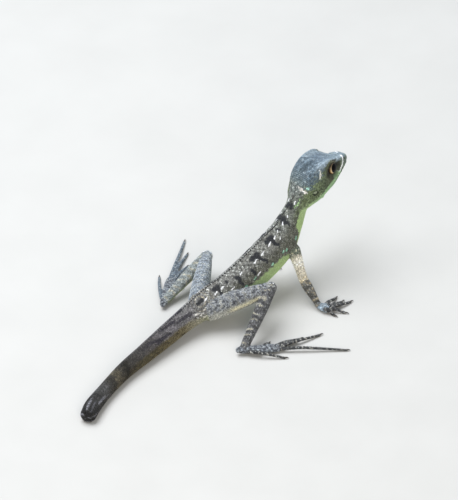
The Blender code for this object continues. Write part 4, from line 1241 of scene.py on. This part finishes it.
def on_hide(points, reach):
    """The hide's nearest places and outward directions, and which of them lie within reach."""
    places = np.zeros((len(points), 3))
    ways = np.zeros((len(points), 3))
    found = np.zeros(len(points), bool)
    for k, point in enumerate(points):
        place, _, index, _ = hide.find_nearest(Vector(point), reach)
        if index is not None:
            places[k] = place
            ways[k] = normals[triangles[index]].mean(axis=0)
            found[k] = True
    return places, unit(ways), found


def staggered(tube, spacing):
    """Places in staggered rows round a length of the body."""
    rings = np.concatenate([tube["rings"], tube["rings"][:, :1]], axis=1)
    rows = np.arange(spacing / 2, tube["run"][-1], spacing * ROW_STEP)
    places = []
    for k, at in enumerate(np.interp(rows, tube["run"], np.arange(len(rings)))):
        i = min(int(at), len(rings) - 2)
        ring = rings[i] + (rings[i + 1] - rings[i]) * (at - i)
        arc = length_along(ring)
        count = max(int(arc[-1] / spacing), 6)
        steps = (np.arange(count) + 0.5 * (k % 2)) * arc[-1] / count
        places.append(np.stack([np.interp(steps, arc, ring[:, axis]) for axis in range(3)], axis=1))
    return np.concatenate(places)


taken = {}  # the places of scales, kept by the cell of space that each lies in


def room_for(point, limit):
    """Whether no scale stands nearer than the limit, and if so keeps the place."""
    cell = tuple(np.floor(point / ROOM_CELL).astype(int))
    for a, b, c in itertools.product((-1, 0, 1), repeat=3):
        for other in taken.get((cell[0] + a, cell[1] + b, cell[2] + c), ()):
            x, y, z = point[0] - other[0], point[1] - other[1], point[2] - other[2]
            if x * x + y * y + z * z < limit * limit:
                return False
    taken.setdefault(cell, []).append(point.tolist())
    return True


roots = []
ways = []
rng = np.random.default_rng(7)
for kind, tube in zip(KINDS, tubes):
    spacing = SPACING.get(kind, LIMB_SPACING)
    wanted = staggered(tube, spacing)
    wanted += rng.normal(scale=JITTER * spacing, size=wanted.shape)
    places, outward, found = on_hide(wanted, 0.8)
    for place, way in zip(places[found], outward[found]):
        if room_for(place, spacing * ROOM):
            roots.append(place)
            ways.append(way)
# What the rows leave bare, at the snout, the tail's end and where limbs join, is filled from the hide's
# corners.
for place, way in zip(corners, normals):
    if room_for(place, FILL_ROOM):
        roots.append(place)
        ways.append(way)
roots = np.array(roots)
ways = np.array(ways)
bare = np.zeros(len(roots), bool)
for side in (-1, 1):
    far, opening, turn = around_eye(roots, side)
    bare |= (far < EYE_REACH) & (opening < 1.42 - 0.12 * ease(np.sin(turn), -0.1, 0.5))
    for place, radius in ((NOSTRIL_PLACE, 0.5), (EAR_PLACE, EAR_RADIUS)):
        bare |= distance(roots, beside(place, side)) < radius
back, _, rise = head_measure(roots)
off_mouth = np.abs(rise - column(back, HEAD, LIP_UP))
bare |= (back < 20.5) & (roots[:, 2] > HEAD_FLOOR) & (off_mouth < 0.17)
bare |= roots[:, 2] < 0.12
roots = roots[~bare]
ways = ways[~bare]
tint, wet, place = markings(roots, 6)
on_trunk_now = place["kind"] == "trunk"
digits = (place["kind"] == "finger") | (place["kind"] == "toe")
round_it = np.abs(place["angle"])
rearward = np.zeros((len(roots), 3))
for k, tube in enumerate(tubes):
    here = np.nonzero(place["tube"] == k)[0]
    at = np.clip(np.searchsorted(tube["run"], place["run"][here]), 0, len(tube["u"]) - 1)
    rearward[here] = tube["forward"][at] * (-1 if k < 2 else 1)
rearward = unit(rearward - ways * (rearward * ways).sum(axis=1)[:, None])
across = np.cross(ways, rearward)
belly = on_trunk_now * ease(round_it, 110, 150)
tail = on_trunk_now * (1 - ease(place["u"], 4.5, 6.5))
# Each scale's half width, half length, height and lean, by where it grows.
rng = np.random.default_rng(8)
width = 0.32 + 0.02 * belly + 0.02 * tail + rng.normal(scale=0.018, size=len(roots))
length = width * (1.04 + 0.15 * belly + 0.35 * tail - 0.12 * digits)
height = 0.17 - 0.06 * belly + 0.01 * tail - 0.03 * digits + rng.normal(scale=0.014, size=len(roots))
lean = 0.25 + 0.25 * tail

# The coat's own map: each length of the body lies unrolled on a shelf, the largest ones first.
shelf = {}
x = y = tallest = 0.0
for k in sorted(range(len(tubes)), key=lambda k: -len(tubes[k]["rings"][0]) * tubes[k]["run"][-1]):
    length_there = tubes[k]["run"][-1]
    girth = max(length_along(ring)[-1] for ring in tubes[k]["rings"][::6])
    if x + length_there > ATLAS_WIDTH:
        x, y, tallest = 0.0, y + tallest + 1.0, 0.0
    shelf[k] = (x, y, girth)
    x += length_there + 1.0
    tallest = max(tallest, girth)
atlas = np.array([shelf[k] for k in place["tube"]])
round_share = (place["angle"] + 180) / 360
root_map = np.stack([atlas[:, 0] + place["run"], atlas[:, 1] + round_share * atlas[:, 2]], axis=1)
root_map = np.clip(root_map / ATLAS_WIDTH, PATCH, 1 - PATCH)


def horn_template(sides, crown):
    """One scale as a closed cone or cup of horn, its radius and height both one: corners and faces."""
    bm = bmesh.new()
    bmesh.ops.create_cone(bm, cap_ends=True, segments=sides, radius1=1.0, radius2=crown, depth=1.0)
    bmesh.ops.triangulate(bm, faces=bm.faces)
    bm.verts.index_update()
    shape = np.array([tuple(vert.co) for vert in bm.verts])
    faces = np.array([[vert.index for vert in face.verts] for face in bm.faces])
    bm.free()
    shape[:, 2] += 0.5
    return shape, faces


def strewn(name, shape, faces, places, axes, sizes, lean, tint, wet, map_places, material):
    """Joins copies of one shape, each with its own place, axes, sizes and colour, into one piece."""
    count = len(places)
    local = np.repeat(shape[None], count, axis=0) * sizes[:, None]
    local[..., 0] += (shape[None, :, 2] * lean[:, None]) * sizes[:, :1]
    made = places[:, None] + np.einsum("nkc,ncd->nkd", local, axes)
    made[..., 2] = np.maximum(made[..., 2], 0.0)
    polygons = (faces[None] + (np.arange(count) * len(shape))[:, None, None]).reshape(-1, 3)
    mesh = bpy.data.meshes.new(name)
    mesh.from_pydata(placed(made).reshape(-1, 3), [], polygons)
    paint(mesh, np.repeat(tint, len(shape), axis=0), np.repeat(wet, len(shape)))
    flat = map_places[:, None] + shape[None, :, :2] * PATCH / 2
    uv = mesh.uv_layers.new(name="OFBake")
    uv.data.foreach_set("uv", flat.reshape(-1, 2)[polygons.ravel()].ravel().astype(np.float32))
    mesh.materials.append(material)
    mesh.shade_smooth()
    piece = bpy.data.objects.new(name, mesh)
    bpy.context.scene.collection.objects.link(piece)
    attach(piece, "root")


scale_material = hide_material("horny_granular_scales", 0.12, 0.02, 0.5)
shape, faces = horn_template(6, 0.0)
axes = np.stack([rearward, across, ways], axis=1)
sizes = np.stack([length, width, height + SUNK], axis=1)
sunk = roots - ways * SUNK
order = np.argsort(place["tube"] * 1000 + place["run"], kind="stable")
for k, chosen in enumerate(np.array_split(order, math.ceil(len(order) / COAT_PIECE))):
    strewn(
        f"granular_scales_{k + 1}", shape, faces, sunk[chosen], axes[chosen], sizes[chosen], lean[chosen],
        tint[chosen], wet[chosen], root_map[chosen], scale_material,
    )

# The low crest down the middle of neck, back and tail: upright pointed scales, one behind another, dark with
# paler ones between, leaning back and smaller towards the tail's end.
CREST_STEP = 1.35
CREST_HEIGHT = 1.05
CREST_LEAN = 0.75
CREST_ROOT = 0.35  # how deep each of its scales is rooted
stops_at = evenly(LINE, 1.2, 13.9, CREST_STEP)
middle, forward, left, up = spine_frames(stops_at)
tops = middle + up * curve_at(SPINE, np.minimum(stops_at, HEAD_START))[:, 4:5]
fade = np.clip((stops_at - 1.0) / 5.0, 0.45, 1.0) * (1 + 0.12 * np.sin(2.3 * np.arange(len(stops_at))))
fade = fade * (1 - 0.35 * ease(stops_at, 12.5, 13.9))
shape, faces = horn_template(8, 0.12)
count = len(stops_at)
places = tops - up * CREST_ROOT + left * (0.06 * np.sin(1.7 * np.arange(count) + 0.5))[:, None]
sizes = np.stack([0.3 + 0.32 * fade, 0.16 + 0.08 * fade, CREST_ROOT + CREST_HEIGHT * fade * 0.9], axis=1)
crest_tint, crest_wet, crest_place = markings(tops, 9)
dark = over(crest_tint * 0.5, "#2b2c30", 0.6 + 0.3 * np.sin(1.9 * np.arange(count)) ** 2)
run = crest_place["run"] / ATLAS_WIDTH
crest_map = np.stack([np.clip(run, PATCH, 1 - PATCH), np.full(count, 0.97)], axis=1)
axes = np.stack([-forward, np.cross(up, -forward), up], axis=1)
strewn(
    "vertebral_scales", shape, faces, places, axes, sizes, np.full(count, CREST_LEAN), dark, crest_wet,
    crest_map, scale_material,
)

# The lips: a row of long smooth plates along each side of the upper jaw and another along the lower one,
# white at the front of the upper row and leaf green behind.
shape, faces = horn_template(8, 0.72)
places, axes, sizes = [], [], []
LIP_STEP = 1.55
LIPS_END = 20.0
# For the upper and the lower row: how far off the mouth's line it runs, its half height, and where it starts.
LIP_ROWS = ((0.52, 0.44, 1.4), (-0.56, 0.42, 1.9))
for side in (-1, 1):
    for off, high, first in LIP_ROWS:
        for back in np.arange(first, LIPS_END, LIP_STEP):
            beyond = np.array([back, back - 0.5, back + 0.5])
            wide = column(beyond, HEAD, LIP_OUT)
            start = head_place(back, side * wide[0], column(back, HEAD, LIP_UP) + off)
            found, outward, near = on_hide([start], 1.5)
            if not near[0]:
                continue
            way = outward[0]
            _, ahead, behind = head_place(beyond, side * wide, np.zeros(3))
            along = unit(behind - ahead)
            along = unit(along - way * (along @ way))
            places.append(found[0] - way * 0.05)
            axes.append([along, np.cross(way, along), way])
            sizes.append([LIP_STEP * 0.53, high * 0.88, 0.19])
places = np.array(places)
lip_tint, lip_wet, _ = markings(places, 10)
count = len(places)
lip_map = np.stack([0.02 + 0.9 * np.arange(count) / count, np.full(count, 0.99)], axis=1)
strewn(
    "lip_plates", shape, faces, places, np.array(axes), np.array(sizes), np.zeros(count), lip_tint, lip_wet,
    lip_map, scale_material,
)

# The eyes: wet globes behind a clear cornea, with a wide dark pupil in a gold and orange iris, streaked from
# the middle outwards and darker at its rim. Its upper part is painted darker, as the shade of brow and lid
# over it.
PUPIL_RADIUS = 2.1
IRIS_RADIUS = 2.85
EYE_LOOK = math.radians(10)  # how far the iris is turned forward of the lids
PUPIL_EDGE = PUPIL_RADIUS / EYE_RADIUS
IRIS_EDGE = IRIS_RADIUS / EYE_RADIUS
IRIS_RINGS = [
    (PUPIL_EDGE - 0.02, "#050404"), (PUPIL_EDGE + 0.01, "#1d160c"), (PUPIL_EDGE + 0.04, "#dcc7a2"),
    (PUPIL_EDGE + 0.11, "#c8ab7c"), (IRIS_EDGE - 0.09, "#96774c"), (IRIS_EDGE - 0.03, "#443520"),
    (IRIS_EDGE + 0.03, "#17120c"),
]


def eye_material():
    """Wet cornea over iris: mirror-smooth, with a clear coat that gives sharp highlights, and painted shade
    over the iris's top.
    """
    material, tree, shader = shader_of(
        "wet_cornea", Roughness=0.4, Specular_IOR_Level=0.05,
        Coat_Weight=0.25, Coat_IOR=1.3, Coat_Roughness=0.03,
    )
    flat = node(tree, "ShaderNodeUVMap", uv_map="iris").outputs["UV"]
    split = node(tree, "ShaderNodeSeparateXYZ", [("Vector", flat)])
    far = node(tree, "ShaderNodeVectorMath", [("Vector", flat)], operation="LENGTH")
    ray = node(tree, "ShaderNodeVectorMath", [("Vector", flat)], operation="NORMALIZE")
    streaks = node(tree, "ShaderNodeTexNoise", [("Vector", ray.outputs["Vector"])], Scale=9.0, Detail=4.0)
    ramp = node(tree, "ShaderNodeValToRGB", [("Fac", far.outputs["Value"])])
    stops = ramp.color_ramp.elements
    for stop, (at, code) in zip(stops, (IRIS_RINGS[0], IRIS_RINGS[-1])):
        stop.position = at
        stop.color = (*linear(code), 1)
    for at, code in IRIS_RINGS[1:-1]:
        stops.new(at).color = (*linear(code), 1)
    shade = node(tree, "ShaderNodeMapRange", [("Value", streaks.outputs["Fac"])], To_Min=0.55, To_Max=1.4)
    # Painted shade: the iris darker towards its top, as the brow and upper lid shade it.
    under_lid = node(
        tree, "ShaderNodeMapRange", [("Value", split.outputs["Y"])],
        From_Min=0.0, From_Max=0.65, To_Min=1.0, To_Max=0.22,
    )
    shares = [(0, shade.outputs["Result"]), (1, under_lid.outputs["Result"])]
    both = node(tree, "ShaderNodeMath", shares, operation="MULTIPLY")
    graded(tree, shader, ramp.outputs["Color"], both.outputs["Value"])
    return material


cornea = eye_material()
for side, word in SIDES:
    centre, axis, ahead, above = eye_frame(side)
    look = axis * math.cos(EYE_LOOK) + ahead * math.sin(EYE_LOOK)
    forward_lid = unit(ahead - look * (ahead @ look))
    upward = np.cross(forward_lid, look) * side
    bm = bmesh.new()
    bmesh.ops.create_uvsphere(bm, u_segments=48, v_segments=32, radius=1.0)
    uv = bm.loops.layers.uv.new("iris")
    for face in bm.faces:
        for loop in face.loops:
            loop[uv].uv = loop.vert.co.xy if loop.vert.co.z > 0 else loop.vert.co.xy.normalized()
    for vert in bm.verts:
        swell = 1 + 0.035 * max(0.0, (vert.co.z - 0.78) / 0.22)
        local = np.array(vert.co) * EYE_RADIUS * swell
        vert.co = placed(centre + forward_lid * local[0] + upward * local[1] + look * local[2])
    bmesh.ops.recalc_face_normals(bm, faces=bm.faces)
    eye = object_from(bm, f"eyeball_{word}")
    eye.data.materials.append(cornea)
    eye.data.shade_smooth()
    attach(eye, "root")
    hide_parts(f"eye_{word}")

# The lids: thick folded skin round each eye, in rings that follow the opening, with its thin dark edge lying
# on the eyeball. Each fold is given by how wide of the opening and how far from the eye's centre it lies.
LID_FOLDS = [
    (0.98, 2.95), (0.97, 3.13), (0.99, 3.22), (1.02, 3.25), (1.045, 3.2), (1.07, 3.26), (1.11, 3.38),
    (1.16, 3.38), (1.19, 3.3), (1.22, 3.38), (1.27, 3.5), (1.32, 3.49), (1.355, 3.4), (1.39, 3.48),
    (1.44, 3.58), (1.5, 3.56), (1.54, 3.42), (1.56, 3.2), (1.4, 2.95), (1.15, 2.9),
]
LID_STEPS = 110
for side, word in SIDES:
    centre, axis, ahead, above = eye_frame(side)
    rings = []
    for k in range(LID_STEPS + 1):
        turn = 2 * math.pi * k / LID_STEPS
        ring = []
        for opening, radius in LID_FOLDS:
            corner = 1 + 0.06 * math.cos(turn) ** 8 * (opening < 1.15)
            tilt = opening * corner * lid_edge(turn)
            outward = ahead * math.cos(turn) + above * math.sin(turn)
            way = axis * math.cos(tilt) + outward * math.sin(tilt)
            wrinkle = 0.03 * math.sin(23 * turn + 9 * opening) * (1.08 < opening < 1.52)
            ring.append(centre + way * (radius + wrinkle))
        rings.append(ring)
    bm = bmesh.new()
    wrap(bm, rings)
    bmesh.ops.recalc_face_normals(bm, faces=bm.faces)
    lid = object_from(bm, f"eyelids_{word}")
    lid_tint, lid_wet, _ = markings(corners_of(lid.data), 12)
    paint(lid.data, lid_tint, lid_wet)
    lid.data.materials.append(skin_material)
    lid.data.shade_smooth()
    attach(lid, "root")

# The ears: a smooth, thin drum of skin at the bottom of each ear's low rim.
DRUM_HALF_THICKNESS = 0.16
drum_skin, tree, shader = shader_of("ear_drum_skin", Roughness=0.35, Specular_IOR_Level=0.5)
mottled(tree, shader, 1 / (0.7 * MM), ("#6f7a63", "#a3ad8e"))
for side, word in SIDES:
    found, outward, _ = on_hide([beside(EAR_PLACE, side)], 2.0)
    turn = Vector(outward[0]).to_track_quat("Z", "Y").to_matrix().to_4x4()
    bm = bmesh.new()
    bmesh.ops.create_uvsphere(bm, u_segments=32, v_segments=16, radius=1.0)
    drum_radius = EAR_RADIUS * 1.05 * MM
    bmesh.ops.scale(bm, vec=(drum_radius, drum_radius, DRUM_HALF_THICKNESS * MM), verts=bm.verts)
    for vert in bm.verts:
        vert.co.z -= 0.1 * MM * max(0.0, 1 - vert.co.xy.length / (EAR_RADIUS * MM))
    there = Matrix.Translation(Vector(placed(found[0] + outward[0] * 0.06))) @ turn
    bmesh.ops.transform(bm, matrix=there, verts=bm.verts)
    drum = object_from(bm, f"ear_drum_{word}")
    drum.data.materials.append(drum_skin)
    drum.data.shade_smooth()
    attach(drum, "root")

# The claws: one curved point of dark horn on each digit, paler and translucent-looking at its root.
CLAW_LENGTH = 1.8
CLAW_RADIUS = 0.45
CLAW_FLATNESS = 0.8
# Along each claw: the share of its length, its rise, and its share of the radius.
CLAW = (
    (-0.3, 0.0, 1.0), (0.0, 0.12, 0.95), (0.35, 0.25, 0.8), (0.75, 0.1, 0.5), (0.93, -0.15, 0.28),
    (1.0, -0.28, 0.12),
)
CLAW_SHADES = [(0.0, "#6b6153"), (0.7, "#3a342c"), (1.3, "#15120f"), (1.9, "#2a241c")]
claw_horn, tree, shader = shader_of("dark_claw_horn", Roughness=0.3, Specular_IOR_Level=0.55)
tint_node = node(tree, "ShaderNodeAttribute", attribute_name="tint")
grain = noise(tree, 1 / (0.3 * MM), 2.0)
shade = node(tree, "ShaderNodeMapRange", [("Value", grain)], To_Min=0.75, To_Max=1.25)
graded(tree, shader, tint_node.outputs["Color"], shade.outputs["Result"])
for part in ("hand", "foot"):
    for side, word in SIDES:
        bm = bmesh.new()
        for k in range(5):
            digit = digit_tubes[part, side, k]
            tip = digit["middle"][-1]
            ahead = unit(digit["forward"][-1] * np.array([1, 1, 0]))
            rows = []
            for share, rise, size in CLAW:
                place = tip + ahead * CLAW_LENGTH * share + np.array([0, 0, rise])
                rows.append((*place, CLAW_RADIUS * size * CLAW_FLATNESS, CLAW_RADIUS * size))
            wrap(bm, limb_tube("claw", rows, 12)["rings"])
        bmesh.ops.recalc_face_normals(bm, faces=bm.faces)
        claws = object_from(bm, f"claws_{part}_{word}")
        spots = corners_of(claws.data)
        tips = np.array([digit_tubes[part, side, k]["middle"][-1] for k in range(5)])
        away = np.linalg.norm(spots[:, None] - tips[None], axis=2).min(axis=1)
        shades = along_stops(away, CLAW_SHADES)
        paint(claws.data, shades, np.full(len(spots), 0.5))
        claws.data.materials.append(claw_horn)
        claws.data.shade_smooth()
        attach(claws, "root")

low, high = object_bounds()
